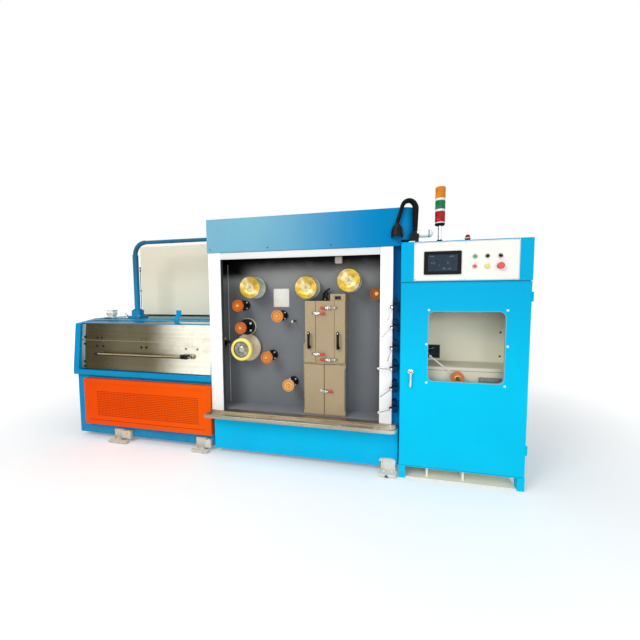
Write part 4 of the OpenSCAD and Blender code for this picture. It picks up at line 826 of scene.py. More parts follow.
def rear_trim():
    """Hinge rod beside the rear cabinet, door seams, locks and the back's door furniture."""
    p = Piece()
    x, y = REAR_X0 - 14, REAR_Y + 4
    p.rod((x, y, ROD_Z0), (x, y, ROD_Z1), 3.5, "plastic", 12)
    for z in ROD_HINGE_ZS:
        p.box(x - 5, REAR_X0 + 1, y - 5, y + 9, z - 9, z + 9, "plastic", 2)
    back = Y_BACK
    mid = (REAR_X0 + REAR_X1) / 2
    p.box(mid - 2, mid + 2, back - 3, back + 0.4, 110, REAR_H - 42, "seam_pale", 0.3, 1)
    for s in (-1, 1):
        for z in REAR_LOCK_ZS:
            p.lathe((mid + s * 46, back - 1, z), BACK, [(0, 4), (5, 4), (6, 7), (13, 7), (15, 5), (15, 0),
                                                        (0, 0)],
                    "zinc", 24)
        edge = REAR_X0 + 13 if s < 0 else REAR_X1 - 13
        for z in REAR_HINGE_ZS:
            p.rod((edge + s * 6, back - 8, z), (edge + s * 6, back - 8, z + 90), 6, "steel", 16)
    p.box(REAR_X0, REAR_X1, REAR_Y - 3, REAR_Y + 2, Z_DECK, Z_DECK + 15, "plastic", 1, 2)
    p.done("rear_trim", "frame")


def feet():
    """Cast feet: toe plates, uprights, jack bolts, and the arched neck of the right one."""
    p = Piece()
    c = "cast"
    front = [(X_DRAW + 470, Y_BASE, 150), (X_MAIN - 128, Y_BASE, 106), (X_STRIP - 24, Y_MAIN, 0)]
    for x, y, w in front:
        p.box(x - 52, x + 52, y - 80, y + 100, 0, 14, c, 3)
        p.box(x - 48, x + 48, y - 66, y + 92, 14, 28, c, 3)
        p.box(x - 52, x + 52, y - 8, y + 84, 28, 107, c, 3)
        for dx in (-30, 30):
            p.lathe((x + dx, y - 40, 28), UP, [(0, 16), (8, 16), (10, 14), (10, 6), (14, 5), (14, 0),
                                               (0, 0)], c, 6)
    for x, y, w in front[:2]:
        p.box(x - 44, x + 44, y - 11, y - 7, 40, 98, c, 1.8)
        p.box(x + 50, x + w, y - 36, y - 1, 34, 106, c, 4, 3)
        p.box(x - 56, x + w - 8, y - 84, y - 38, 14, 26, c, 3)
        p.screw((x + w - 24, y - 18, 106), UP, 9, "zinc", 6, 6)
    x, y, w = front[0]
    p.box(x + 104, x + 128, y - 37.5, y - 35, 74, 98, "yellow", 0.4, 1)
    x, y, w = front[2]
    arch = [(x - 64, 94), (x - 50, 100), (x - 30, 104), (x - 10, 106), (x + 20, 106), (x + 44, 102),
            (x + 58, 94)]
    p.slab(arch + [(a, h + 11) for a, h in arch[::-1]], "xz", y - 26, y - 2, c)
    p.slab([(x - 36, 28), (x - 30, 60), (x - 36, 101), (x + 54, 101), (x + 56, 28)], "xz", y - 18, y - 6, c)
    p.slab([(x - 64, y - 60), (x - 58, y - 84), (x - 20, y - 92), (x - 10, y - 74), (x + 2, y - 90),
            (x + 56, y - 88),
            (x + 68, y - 52), (x + 60, y - 8), (x - 62, y - 8)], "xy", 15, 31, c)
    p.box(x - 22, x + 4, y - 88, y - 70, 6, 16, "socket", 1, 1)
    for x, y in ((X_DRAW + 200, Y_DRAW - 110), (X_MAIN - 120, Y_DRAW - 110),
                 (X_MAIN + 120, Y_MAIN + MAIN_D - 110),
                 (X_STRIP - 60, Y_MAIN + MAIN_D - 110)):
        p.box(x - 52, x + 52, y - 70, y + 70, 0, 14, c, 3)
        p.box(x - 44, x + 44, y - 55, y + 55, 14, 45, c, 3)
    p.done("feet", "frame", ["floor_feet"])


guard_sheet()
hood_details()
hood_rod()
deck_fittings()
rear_trim()
feet()


# Main cabinet
WALL_SCREW_ZS, POST_SCREW_ZS = (470, 800, 1130, 1460), (430, 1040, 1610)
HEADER_SCREW_XS, HEADER_SCREW_Z = (-446, 61, 573, 1068), 1728
BACK_Z0, BACK_Z1, BACK_SCREW_ZS = 110, 1640, (135, 870, 1615)
BACK_SPLIT_X0, BACK_SPLIT_X1 = 300, 312
LOUVRES, LOUVRE_Z, LOUVRE_STEP, LOUVRE_W = 9, 1180, 34, 150
SPOOL_Z0, SPOOL_Z1, SPOOL_SCREW_ZS = 140, SPOOL_H - 40, (165, 880, SPOOL_H - 65)
SOFFIT_XS = ((50, 195), (213, 443), (461, X_END - X_SPOOL - 50))
SCRAPS = ((-60, -580, 16), (640, -600, 10), (905, -590, 26))


def cavity_lining():
    """Grey sheets on the cavity's side walls, ceiling and floor, the ceiling and right wall darker as painted
    shade, with a white strip in the left wall's back corner as a painted highlight.
    """
    p = Piece()
    z0, z1 = TRAY_Z - 1, HEAD_Z - 12
    p.box(CAV_X0, CAV_X0 + 2, STRIP_Y, Y_PLATE, z0, z1, "grey", 0.4, 1)
    # right wall and ceiling in darker greys as painted shade
    p.box(CAV_X1 - 2, CAV_X1, STRIP_Y, Y_PLATE, z0, z1, "grey_wall", 0.4, 1)
    p.box(CAV_X0 + 2, CAV_X1 - 2, STRIP_Y, Y_PLATE, z1 - 2, z1, "grey_roof", 0.4, 1)
    p.box(CAV_X0 + 2, CAV_X1 - 2, STRIP_Y + 2, Y_PLATE - 1, z0 + 1, z0 + 3, "grey_floor", 0.4, 1)
    # painted highlight: white strip along the left wall's back corner
    p.box(CAV_X0 + 2, CAV_X0 + 5, Y_PLATE - 4, Y_PLATE, z0 + 2, z1 - 60, "white", 1, 2)
    for z in WALL_SCREW_ZS:
        p.screw((CAV_X0 + 2, Y_PLATE - 40, z), RIGHT, 5, "zinc", 2, 12)
        p.screw((CAV_X1 - 2, Y_PLATE - 40, z), LEFT, 5, "zinc", 2, 12)
    p.done("cavity_lining", "frame")


def frame_bars():
    """White posts and head bar with their butt joints."""
    p = Piece()
    left, right = X_MAIN + 109, X_STRIP - 93
    face = Y_MAIN + 9
    p.box(X_MAIN, left, Y_MAIN, face, TRAY_Z, HEAD_Z, "white", 3, 3)
    p.box(right, X_STRIP, Y_MAIN, face, TRAY_Z, HEAD_Z, "white", 4, 3)
    # head bar in the darker white as painted shade
    p.box(left + 1, right - 1, Y_MAIN + 1, face, HEAD_Z - 56, HEAD_Z - 1, "head_bar", 3, 3)
    # sides of the posts and underside of the head bar in darker greys as painted shade
    p.box(X_MAIN, left - 3, face, STRIP_Y, TRAY_Z, HEAD_Z, "grey_wall", 1, 2)
    p.box(right + 3, X_STRIP, face, STRIP_Y, TRAY_Z, HEAD_Z, "grey_wall", 1, 2)
    p.box(left, right, face, STRIP_Y, HEAD_Z - 53, HEAD_Z, "grey_roof", 1, 2)
    for x in (X_MAIN + 24, X_STRIP - 24):
        for z in POST_SCREW_ZS:
            p.screw((x, Y_MAIN, z), FRONT, 4, "white", 1.6, 12)
    p.done("frame_bars", "frame", ["window_frame"])


def casing_trim():
    """Header screws, the back's panels with their louvres, and the spooler's back and side panels."""
    p = Piece()
    for x in HEADER_SCREW_XS:
        p.screw((x, Y_MAIN - 6, HEADER_SCREW_Z), FRONT, 5, "black", 2.5, 14)
    back = Y_MAIN + MAIN_D
    gap = 26
    for a, b in ((X_MAIN + gap, BACK_SPLIT_X0), (BACK_SPLIT_X1, X_SPOOL - gap)):
        p.box(a, b, back - 1, back + 3, BACK_Z0, BACK_Z1, "blue", 2, 2)
        for x in (a + 22, b - 22):
            for z in BACK_SCREW_ZS:
                p.screw((x, back + 3, z), BACK, 6, "zinc", 3, 14)
        mid = (a + b) / 2
        for k in range(LOUVRES):
            z = LOUVRE_Z + LOUVRE_STEP * k
            p.slab([(back + 2, z), (back + 14, z + 3), (back + 14, z + 6), (back + 2, z + 20)], "yz",
                   mid - LOUVRE_W, mid + LOUVRE_W, "blue")
    p.done("casing_trim", "frame")

    p = Piece()
    back = Y_SPOOL + SPOOL_D
    p.box(X_SPOOL + 34, X_END - 34, back - 1, back + 3, SPOOL_Z0, SPOOL_Z1, "cyan", 2, 2)
    for x in (X_SPOOL + 56, X_END - 56):
        for z in SPOOL_SCREW_ZS:
            p.screw((x, back + 3, z), BACK, 6, "zinc", 3, 14)
    p.box(X_END - 1, X_END + 2, Y_SHELL + 60, back - 40, SPOOL_Z0, SPOOL_Z1, "cyan", 1.4, 2)
    for y in (Y_SHELL + 84, back - 64):
        for z in SPOOL_SCREW_ZS:
            p.screw((X_END + 2, y, z), RIGHT, 6, "zinc", 3, 14)
    p.done("spooler_panels", "frame")


def soffit():
    """Cream sheets under the spooler cabinet, between the partitions of its base."""
    p = Piece()
    for x0, x1 in SOFFIT_XS:
        p.box(X_SPOOL + x0, X_SPOOL + x1, Y_SHELL + 14, Y_SPOOL + 820, LEG_H - 2.6, LEG_H - 0.4, "pan", 0.8,
              2)
    p.done("soffit", "frame")


def tray_rim():
    """Rolled bright lip round the tray's front and right edges, and small spilt scraps."""
    p = Piece()
    r = 6.0
    x0, x1, y0 = X_MAIN + r, X_SPOOL - 14 - r, Y_MAIN - 125 + r
    bend = 60 - r
    path = [(x0 - 2, y0, TRAY_Z - 3)]
    path += [(x1 - bend + bend * math.sin(math.radians(a)), y0 + bend - bend * math.cos(math.radians(a)),
              TRAY_Z - 3) for a in range(0, 91, 10)]
    path += [(x1, STRIP_Y - 40, TRAY_Z - 3)]
    p.tube(path, r, "lip", 16)
    for x, y, w in SCRAPS:
        p.box(x, x + w, y, y + 9, TRAY_Z - 19, TRAY_Z - 16, "paper", 0.6, 1)
    p.done("tray_rim", "frame")


# Rotors
def capstan(i, c):
    """Brass-faced capstan: turned face, slotted hub nut, screws and the coated drum."""
    p = Piece()
    centre = (X_MAIN + c[0], Y_CAP, c[1])
    R = CAP_R
    p.steps(centre, [
        (0, 3, "hub"), (26, 3, "hub"), (28, 1, "hub"), (34, 1, "hub"), (35, 3, "brass"), (40, 3, "brass"),
        (42, 2, "brass"), (74, 2, "brass"), (76, 0.5, "brass"), (R - 3, 0.5, "brass"), (R, 3, "brass"),
        (R, 9, "drum_edge"), (R - 2, 11, "drum_edge"), (R - 3, 15, "drum"), (R - 3, CAP_W - 12, "drum"),
        (R, CAP_W - 9, "drum"), (R, CAP_W, "drum"), (9, CAP_W, "steel"), (9, CAP_END, "steel"),
        (0, CAP_END, "steel")], 72)
    for k in range(3):
        turn = turned_to(centre, 20 + 120 * k)
        p.box(15, 30, 0.4, 4, -1.3, 1.3, "pulley_core", 0.4, 1, turn)
        turn = turned_to(centre, 50 + 120 * k)
        p.plug(turn, 58, 2.6, 1.8, "brass_dark")
    p.lathe((centre[0], Y_CAP + 3, centre[2]), FRONT,
            [(0, 0.6), (4, 0.6), (6, 2.4), (10, 2.4), (11, 1.5), (11, 0), (0, 0)],
            ["brass_dark"] + ["hub"] * 5, 28)
    node = "capstan_%d" % i
    p.done(node + "_body", node, [node], 28, centre)


def pulley(i, c):
    """Moulded guide pulley with a brass-like centre and its shaft."""
    p = Piece()
    centre = (X_MAIN + c[0], Y_PUL, c[1])
    h = PUL_W / 2
    R = PUL_R
    node = "pulley_%d" % i
    core, groove, tone = "pulley_core", "pulley_groove", node
    p.steps(centre, [
        (0, -h - 2, core), (3, -h - 2, core), (4, -h - 3, "ring"), (6, -h - 3, "ring"), (7, -h - 1, core),
        (14, -h - 1, core), (16, -h + 3, tone), (22, -h + 5, tone), (R - 15, -h + 5, tone),
        (R - 12, -h + 2, groove), (R - 9, -h, tone), (R - 1, -h, tone), (R, -h + 1.2, tone),
        (R - 8, -1, tone),
        (R - 9, 0, tone), (R - 8, 1, tone), (R, h - 1.2, tone), (R - 1, h, tone), (14, h, "steel"),
        (14, h + 6, "steel"), (9, h + 6, "steel"), (9, PUL_END, "steel"), (0, PUL_END, "steel")], 56)
    p.done(node + "_body", node, [node], 28, centre)


def dancer_wheel():
    """Pale ring round a turned steel disc, with the wire groove and the shaft."""
    p = Piece()
    centre = (X_MAIN + WHEEL[0], Y_PUL - 14, WHEEL[1])
    R = WHEEL_R - 5
    p.steps(centre, [
        (0, 2, "zinc"), (7, 2, "zinc"), (8, 1, "disc"), (17, 1, "zinc"), (22, 2, "disc"), (30, 6.5, "disc"),
        (46, 6, "disc"), (64, 6, "disc"), (66, 9, "socket"), (69, 9, "socket"), (70, 1, "ring"),
        (72, 0, "ring"), (R - 7, 0, "ring"), (R - 1, 3, "ring"), (R, 5, "ring"), (R - 10, 14, "ring"),
        (R, 24, "ring"), (R - 1, 32, "ring"), (R - 4, 34, "drum"), (9, 34, "steel"), (9, WHEEL_END, "steel"),
        (0, WHEEL_END, "steel")], 72)
    for k in range(6):
        turn = turned_to((centre[0], Y_PUL - 12, centre[2]), 15 + 60 * k)
        p.plug(turn, 37, 3.2, 2.6, "socket")
    p.done("tension_wheel_body", "tension_wheel", ["tension_wheel"], 28, centre)


def housings():
    """Round bearing housings behind the rotors, with a collar, a bore and cap screws, the pulleys' screws
    white as painted glints.
    """
    p = Piece()
    for i, c in enumerate(PULS + [WHEEL]):
        x, z = X_MAIN + c[0], c[1]
        wide, deep, neck = {2: (BIG_R, 40, 30), 6: (40, 75, 40)}.get(i, (44, 30, 30))
        profile = [(10, 0), (10, 75), (neck - 2, 75), (neck, 73)]
        if wide > neck:
            profile += [(neck, deep), (wide - 2, deep), (wide, deep - 2)]
        p.lathe((x, Y_PLATE, z), FRONT, profile + [(wide, 0), (10, 0)], "black", 48)
        # the pulleys' housing screws are white as painted glints
        if i == 2:
            p.ring((x, Y_PLATE, z), FRONT, wide - 1, wide + 7, 9, "flange", 56, 2)
            spots = arc(x, z, 52, (-38, 38, 142, 218))
            p.screws([(a, Y_PLATE - deep, b) for a, b in spots], FRONT, 10, "white", 6, 14)
        elif i < 6:
            spots = arc(x, z, 37, (45, 135, 225, 315))
            p.screws([(a, Y_PLATE - deep, b) for a, b in spots], FRONT, 6.4, "white", 5, 14)
    for c in CAPS:
        p.lathe((X_MAIN + c[0], Y_PLATE, c[1]), FRONT, [(10, 0), (10, 42), (32, 42), (34, 40), (34, 0),
                                                        (10, 0)],
                "black", 40)
    x, z = X_MAIN + WHEEL[0], WHEEL[1]
    p.ring((x, Y_PLATE - 22, z), FRONT, 108, 121, 7, "flange", 72, 1.5)
    spots = arc(x, z, WHEEL_R, range(10, 311, 60))
    p.screws([(a, Y_PLATE - 38, b) for a, b in spots], FRONT, 5, "zinc", 3, 12)
    p.done("housings", "frame", ["bearing_blocks"])


# Annealer
SLOT_Z0, SLOT_Z1 = 1318, 1340
LOWER_TOP, COVER_ZS = 964, (1292, 826, 1150)
SIDE_SCREWS = ((-362, 1099), (-375, 1012), (-385, 929), (-392, 617), (-398, 391))
SIDE_BACK_Y, SIDE_BACK_ZS = -330, (1180, 1290, 700, 480)
CLAMPS = ((474, 1251, 1), (513, 1208, -1), (511, 883, -1), (475, 839, 1))
DOOR_Z0, DOOR_Z1, DOOR_CLAMP_Z = 393, 793, 584
DOOR_SCREWS_L = ((40, 799), (30, 700), (30, 503), (30, 409), (150, 806))
DOOR_SCREWS_R = ((276, 798), (302, 699), (302, 503), (302, 400), (182, 806))


def annealer_trim():
    """Dark slot back as painted shade, cover screws, the side wall's screws, and a lighter right side sheet
    as painted light.
    """
    p = Piece()
    slot = ANN_X + ANN_W - 82
    # dark box in the slot as painted shade
    p.box(slot + 1, slot + 45, Y_ANN + 18, Y_ANN + 28, SLOT_Z0, SLOT_Z1, "socket", 1)
    p.ring_rect(slot - 3, slot + 49, SLOT_Z0 - 4, SLOT_Z1 + 4, 4, Y_ANN - 2, Y_ANN + 2, "tan_dark")
    top, low, middle = COVER_ZS
    spots = [(18, top), (86, top), (262, top)] + [(ANN_W - 10, top)]
    spots += [(dx, z) for z in (low, middle) for dx in (18, ANN_W - 10)]
    p.screws([(ANN_X + dx, ANN_FACE, z) for dx, z in spots], FRONT, 3.6, "zinc", 2)
    x = ANN_X + ANN_W
    # lighter sheet on the right side as painted light
    p.box(x, x + 1.6, Y_ANN + 3, Y_PLATE - 2, TRAY_Z + 2, ANN_TOP, "side", 0.5, 1)
    p.box(ANN_X - 6, ANN_X, Y_ANN - 1, Y_PLATE - 2, TRAY_Z + 2, LOWER_TOP, "tan", 1, 2)
    p.box(ANN_X - 7, ANN_X - 4, Y_ANN - 3, Y_ANN, TRAY_Z + 5, LOWER_TOP - 2, "lip", 0.8, 2)
    spots = list(SIDE_SCREWS) + [(SIDE_BACK_Y, z) for z in SIDE_BACK_ZS]
    p.screws([(x + 1.6, y, z) for y, z in spots], RIGHT, 5, "zinc", 2.2)
    p.done("annealer_trim", "frame")


def bow_handles():
    """Black bow handles with bright upper posts."""
    p = Piece()
    for x in (ANN_X + 46, ANN_X + ANN_W - 52):
        z0, z1 = BOW_Z, BOW_Z + 136
        p.lathe((x, ANN_FACE, z1 - 11), FRONT, [(0, 0), (11, 0), (11, 3), (8, 6), (8, 26), (0, 26)],
                "bright", 24)
        p.lathe((x, ANN_FACE, z0 + 11), FRONT, [(0, 0), (13, 0), (13, 4), (9, 9), (8, 26), (0, 26)],
                "plastic", 24)
        path = [(x, ANN_FACE - 14, z0 + 6), (x, ANN_FACE - 27, z0 + 8), (x, ANN_FACE - 33, z0 + 20),
                (x, ANN_FACE - 35, z0 + 50), (x, ANN_FACE - 35, z1 - 50), (x, ANN_FACE - 33, z1 - 20),
                (x, ANN_FACE - 27, z1 - 6), (x, ANN_FACE - 18, z1 - 3)]
        p.tube(path, [8, 11, 11, 10, 10, 11, 11, 7], "plastic", 18)
        p.lathe((x, ANN_FACE - 34, z1 - 11), FRONT, [(0, 8), (5, 7.5), (7, 5), (7, 0), (0, 0)], "bright", 20)
    p.done("bow_handles", "frame", ["annealer_fittings"])


def clamp_shape(p, x, z, s, y, grip=40, reach=98, keeper=True):
    """Toggle clamp: red grip, bright lever and cheeks, and a wire hook on its keeper."""
    def run(a, b, y0, y1, z0, z1, mat, r=1.0):
        p.box(min(x + s * a, x + s * b), max(x + s * a, x + s * b), y0, y1, z0, z1, mat, r)
    p.lathe((x, y - 15, z), Vector((s, 0, 0)), [(0, -2), (5, -1), (8.5, 4), (9.5, 16), (9, 30), (7, grip - 2),
                                                (5, grip), (0, grip)], "red_grip", 20)
    run(grip - 4, grip + 24, y - 18, y - 13, z - 5, z + 5, "bright")
    run(grip + 8, grip + 46, y - 3, y, z - 12, z + 12, "dark_steel")
    for dz in (-8, 8):
        run(grip + 12, grip + 40, y - 17, y - 2, z + dz - 1.5, z + dz + 1.5, "bright", 0.6)
        p.screw((x + s * (grip + 13), y - 3, z + dz * 0.9), FRONT, 2.6, "bright", 1.6, 10)
    p.rod((x + s * (grip + 20), y - 12, z - 11), (x + s * (grip + 20), y - 12, z + 11), 3.4, "bright", 14)
    p.rod((x + s * (grip + 34), y - 9, z - 11), (x + s * (grip + 34), y - 9, z + 11), 3.4, "bright", 14)
    for dz in (-4.5, 4.5):
        p.rod((x + s * (grip + 20), y - 12, z + dz), (x + s * (reach - 6), y - 9, z + dz), 1.8, "bright", 10)
    if keeper:
        clamp_keeper(p, x + s * reach, z, s, y)


def clamp_keeper(p, x, z, s, y):
    """Keeper plate with its hook and screw."""
    p.box(min(x - s * 10, x + s * 14), max(x - s * 10, x + s * 14), y - 3, y, z - 9, z + 9, "dark_steel", 1)
    p.box(min(x - s * 9, x - s * 2), max(x - s * 9, x - s * 2), y - 14, y - 2, z - 7, z + 7, "bright", 1.5)
    p.screw((x + s * 7, y - 3, z), FRONT, 3.6, "bright", 2.2, 12)


def clamps():
    """The four toggle clamps of the annealer's covers."""
    p = Piece()
    for x, z, s in CLAMPS:
        reach = 122 if s > 0 else 96
        clamp_shape(p, x, z, s, ANN_FACE, 40, reach)
    p.done("cover_clamps", "frame", ["annealer_clamps"])


def door_fittings():
    """Screws, the edge lips and the clamp of the two lower doors; the keeper stays on the left one."""
    seam = ANN_X + ANN_W / 2
    z = DOOR_CLAMP_Z
    p = Piece()
    p.screws([(ANN_X + dx, ANN_FACE, dz) for dx, dz in DOOR_SCREWS_L], FRONT, 4, "zinc", 2.2)
    p.box(seam - 4.5, seam - 1.8, ANN_FACE - 1, ANN_FACE + 2, DOOR_Z0, DOOR_Z1, "tan_dark", 0.6, 1)
    p.box(seam - 34, seam - 8, ANN_FACE - 3, ANN_FACE, z - 9, z + 9, "zinc", 1)
    p.box(seam - 22, seam - 14, ANN_FACE - 14, ANN_FACE - 2, z - 7, z + 7, "bright", 1.5)
    for dz in (-4.5, 4.5):
        p.rod((seam - 16, ANN_FACE - 10, z + dz), (seam - 3, ANN_FACE - 10.5, z + dz), 1.8, "bright", 10)
    p.screw((seam - 29, ANN_FACE - 3, z), FRONT, 3.4, "bright", 2, 12)
    p.done("door_fittings_l", "annealer_door_l")
    p = Piece()
    p.screws([(ANN_X + dx, ANN_FACE, dz) for dx, dz in DOOR_SCREWS_R], FRONT, 4, "zinc", 2.2)
    clamp_shape(p, seam + 70, z, -1, ANN_FACE, 38, 72, False)
    p.done("door_fittings_r", "annealer_door_r")


# Fittings in the cavity
def cavity_fittings():
    """Bare label, guide pin, ceiling sensor, wall bracket and the black hook."""
    p = Piece()
    x0, z0 = X_MAIN + 482, 1252
    p.box(x0, x0 + 142, Y_PLATE - 2.5, Y_PLATE, z0, z0 + 158, "paper", 1, 2)
    for dx in (7, 135):
        for dz in (7, 151):
            p.screw((x0 + dx, Y_PLATE - 2.5, z0 + dz), FRONT, 3, "zinc", 1.4, 10)
    x, z = X_MAIN + 680, 1132
    p.lathe((x, Y_PLATE, z), FRONT, [(0, 0), (15, 0), (15, 2), (11, 4), (6, 6), (4.5, 10), (4.5, 88),
                                     (8, 90), (9, 102),
                                     (6, 104), (0, 104)],
            ["dark_steel"] * 6 + ["sensor", "bright", "bright", "sensor"], 32)
    p.done("label_and_pin", "frame", ["cavity_plates"])

    p = Piece()
    x, z1 = X_MAIN + 1042, HEAD_Z - 14
    p.box(x, x + 58, Y_PLATE - 90, Y_PLATE - 44, z1 - 82, z1 - 26, "sensor", 6, 3)
    p.box(x + 10, x + 48, Y_PLATE - 84, Y_PLATE - 52, z1 - 28, z1, "black", 2, 2)
    for dx in (9, 49):
        p.screw((x + dx, Y_PLATE - 90, z1 - 36), FRONT, 3, "zinc", 1.5, 10)
    y = Y_MAIN + 84
    p.slab([(CAV_X0 + 2, 872), (CAV_X0 + 34, 892), (CAV_X0 + 56, 930), (CAV_X0 + 84, 942), (CAV_X0 + 84, 962),
            (CAV_X0 + 2, 972)], "xz", y - 23, y + 23, "black")
    p.box(CAV_X0 + 2, CAV_X0 + 44, y - 24, y + 24, 968, 988, "yellow", 3, 2)
    p.box(CAV_X0 + 2, CAV_X0 + 10, y - 29, y + 29, 868, 1000, "black", 1.5)
    x, z = ANN_X + 125, 1306
    p.box(x, x + 34, Y_PLATE - 40, Y_PLATE - 2, z, z + 34, "black", 5, 3)
    p.tube([(x + 8, Y_PLATE - 30, z + 20), (x + 10, Y_PLATE - 32, z + 52), (x + 26, Y_PLATE - 34, z + 76),
            (x + 60, Y_PLATE - 34, z + 101)], [11, 10, 9, 6], "black", 14)
    p.tube([(x + 30, Y_PLATE - 34, z + 74), (x + 44, Y_PLATE - 34, z + 60), (x + 36, Y_PLATE - 34, z + 40)],
           [7, 6, 5], "black", 12)
    p.screw((x + 22, Y_PLATE - 40, z + 12), FRONT, 5, "bright", 3, 12)
    p.done("cavity_brackets_body", "frame", ["cavity_brackets"])


# Air valves
def valves():
    """Six air valves in a column, with their fittings."""
    p = Piece()
    for i in range(6):
        z = VALVE_Z - i * VALVE_STEP
        x = VALVE_X
        p.lathe((x, STRIP_Y, z + 41), FRONT, [(0, 0), (15, 0), (15, 54), (17, 56), (17, 82), (14, 86),
                                              (9, 86), (8, 80),
                                              (0, 80)],
                ["valve_blue"] * 6 + ["socket", "plastic"], 28)
        p.box(x - 15, x + 15, LEVER_Y + 22, STRIP_Y, z - 30, z + 15, "valve_blue", 3, 2)
        p.box(PIVOT_X - 12, x, LEVER_Y + 14, LEVER_Y + 38, z - 12, z + 12, "valve_blue", 3, 2)
        p.lathe((x, LEVER_Y + 22, z - 14), FRONT, [(0, 5), (5, 5), (7, 3), (7, 0), (0, 0)], "black", 14)
        p.lathe((x + 12, STRIP_Y - 40, z - 20), Vector((0.4, 0, -1)),
                [(0, 14), (5, 14), (6, 12), (6, 4), (8, 3), (8, 0),
                                                                   (0, 0)], "black", 14)
    p.done("valves", "frame", ["valve_bank"])


def lever(i):
    """Thin steel lever on its pivot, with a round white tip where the photograph shows one."""
    p = Piece()
    z = VALVE_Z - i * VALVE_STEP
    place = turned_to((PIVOT_X, LEVER_Y, z), LEVER_REST[i])
    outline = [(-6, 0), (-3.6, -18), (-3.6, -88)]
    outline += arc(0, -92, 5, range(180, 361, 30))
    outline += [(3.6, -88), (3.6, -18), (6, 0)]
    outline += arc(0, 0, 8, range(0, 181, 30))
    p.prism([(a, 0, b) for a, b in outline], [(a, 4.5, b) for a, b in outline], "lever", place)
    base = place @ Vector((0, 32, 0))
    p.lathe(base, FRONT, [(0, 0), (4, 0), (4, 24), (8, 25), (8, 33), (6, 35), (3, 35), (2.5, 33), (0, 33)],
            "zinc", 18)
    if i in (3, 5):
        tip = place @ Vector((0, 2, -92))
        p.lathe(tip + Vector((0, 9, 0)), FRONT, [(0, 0), (5, 1.5), (8.5, 6), (9, 10), (7, 15), (3, 18),
                                                 (0, 18.5)],
                "white_plastic", 20)
    node = "valve_lever_%d" % (i + 1)
    p.done(node + "_body", node, [node])


cavity_lining()
frame_bars()
casing_trim()
tray_rim()
soffit()
for k, c in enumerate(CAPS):
    capstan(k + 1, c)
for k, c in enumerate(PULS):
    pulley(k + 1, c)
dancer_wheel()
housings()
annealer_trim()
bow_handles()
clamps()
door_fittings()
cavity_fittings()
valves()
for k in range(6):
    lever(k)


# Lamps on the roof
def work_lamp():
    """Corrugated gooseneck with its bell, reflector and bulb."""
    p = Piece()
    x, y = X_SPOOL + 84, Y_SPOOL + 40
    p.box(x - 26, x + 34, y - 24, y + 10, SPOOL_H, SPOOL_H + 62, "plastic", 5, 3)
    p.box(x - 34, x + 8, y - 30, y - 24, SPOOL_H, SPOOL_H + 9, "white_plastic", 1.5, 2)
    turn = math.radians(8)
    out = Vector((-math.cos(turn), -math.sin(turn), 0))
    foot = Vector((x + 10, y, 0))
    top = SPOOL_H + 238
    line = [foot + Vector((0, 0, SPOOL_H + 56 + 4 * k)) for k in range(46)]
    line += [foot + out * (48 - 48 * math.cos(a)) + Vector((0, 0, top + 57 * math.sin(a)))
             for a in [math.pi * k / 48 for k in range(1, 48)]]
    line += [foot + out * (96 + k * 1.3) + Vector((0, 0, top - 4 * k)) for k in range(25)]
    thick = [16 + 0.14 * k for k in range(46)] + [22.5 - 0.18 * k for k in range(47)] + [14] * 25
    p.tube(line, [r - 2.2 * (k % 2) for k, r in enumerate(thick)], "rubber", 18)
    p.lathe(foot + Vector((0, 0, SPOOL_H + 58)), UP, [(0, 0), (20, 0), (20, 14), (16, 20), (13, 20), (0, 20)],
            "plastic", 28)
    bell = foot + out * 127 + Vector((0, 0, SPOOL_H + 41))
    p.lathe(bell, UP, [(37, 1), (42, 0), (42.5, 3), (42, 22), (40.5, 40), (37, 58), (31, 74), (22, 86),
                       (15, 93),
                       (13, 104), (0, 104)], "plastic", 40)
    p.lathe(bell, UP, [(37, 1), (34, 30), (27, 60), (14, 80), (0, 82)], "black", 40)
    p.lathe(bell + Vector((0, 0, 82)), -UP, [(0, 0), (9, 0), (9, 14), (18, 30), (21, 44), (18, 58),
                                             (10, 66), (0, 69)],
            "white_plastic", 28)
    for a in range(0, 360, 30):
        arm = turned_to(bell, a, "Z")
        p.box(28, 35.5, -1.5, 1.5, 50, 70, "plastic", 0.6, 1, arm)
    p.done("gooseneck_lamp", "frame", ["work_lamp"])


def tube_lamp():
    """Clear sleeve with a white core and round end, on its bracket."""
    p = Piece()
    x, y, z = X_SPOOL + 106, Y_SPOOL + 46, SPOOL_H + 62
    p.lathe((x, y, z), RIGHT, [(0, 0), (25, 0), (27, 2), (27, 12), (25, 14), (26, 15), (26, 76), (27, 78),
                               (27, 84),
                               (24.5, 94), (19, 102), (10, 107), (0, 108)],
            ["seam_pale", "white_plastic", "white_plastic", "seam_pale", "clear", "clear",
             "seam_pale", "seam_pale"] + ["clear"] * 4, 40)
    p.box(x, x + 12, y - 20, y + 20, SPOOL_H, z - 8, "white_plastic", 3, 2)
    p.box(x - 2, x + 30, y - 20, y + 20, SPOOL_H, SPOOL_H + 5, "white_plastic", 2, 2)
    for dy in (-13, 13):
        p.screw((x + 23, y + dy, SPOOL_H + 5), UP, 3.5, "zinc", 2, 10)
    p.done("tube_lamp", "frame", ["lamp_tube"])


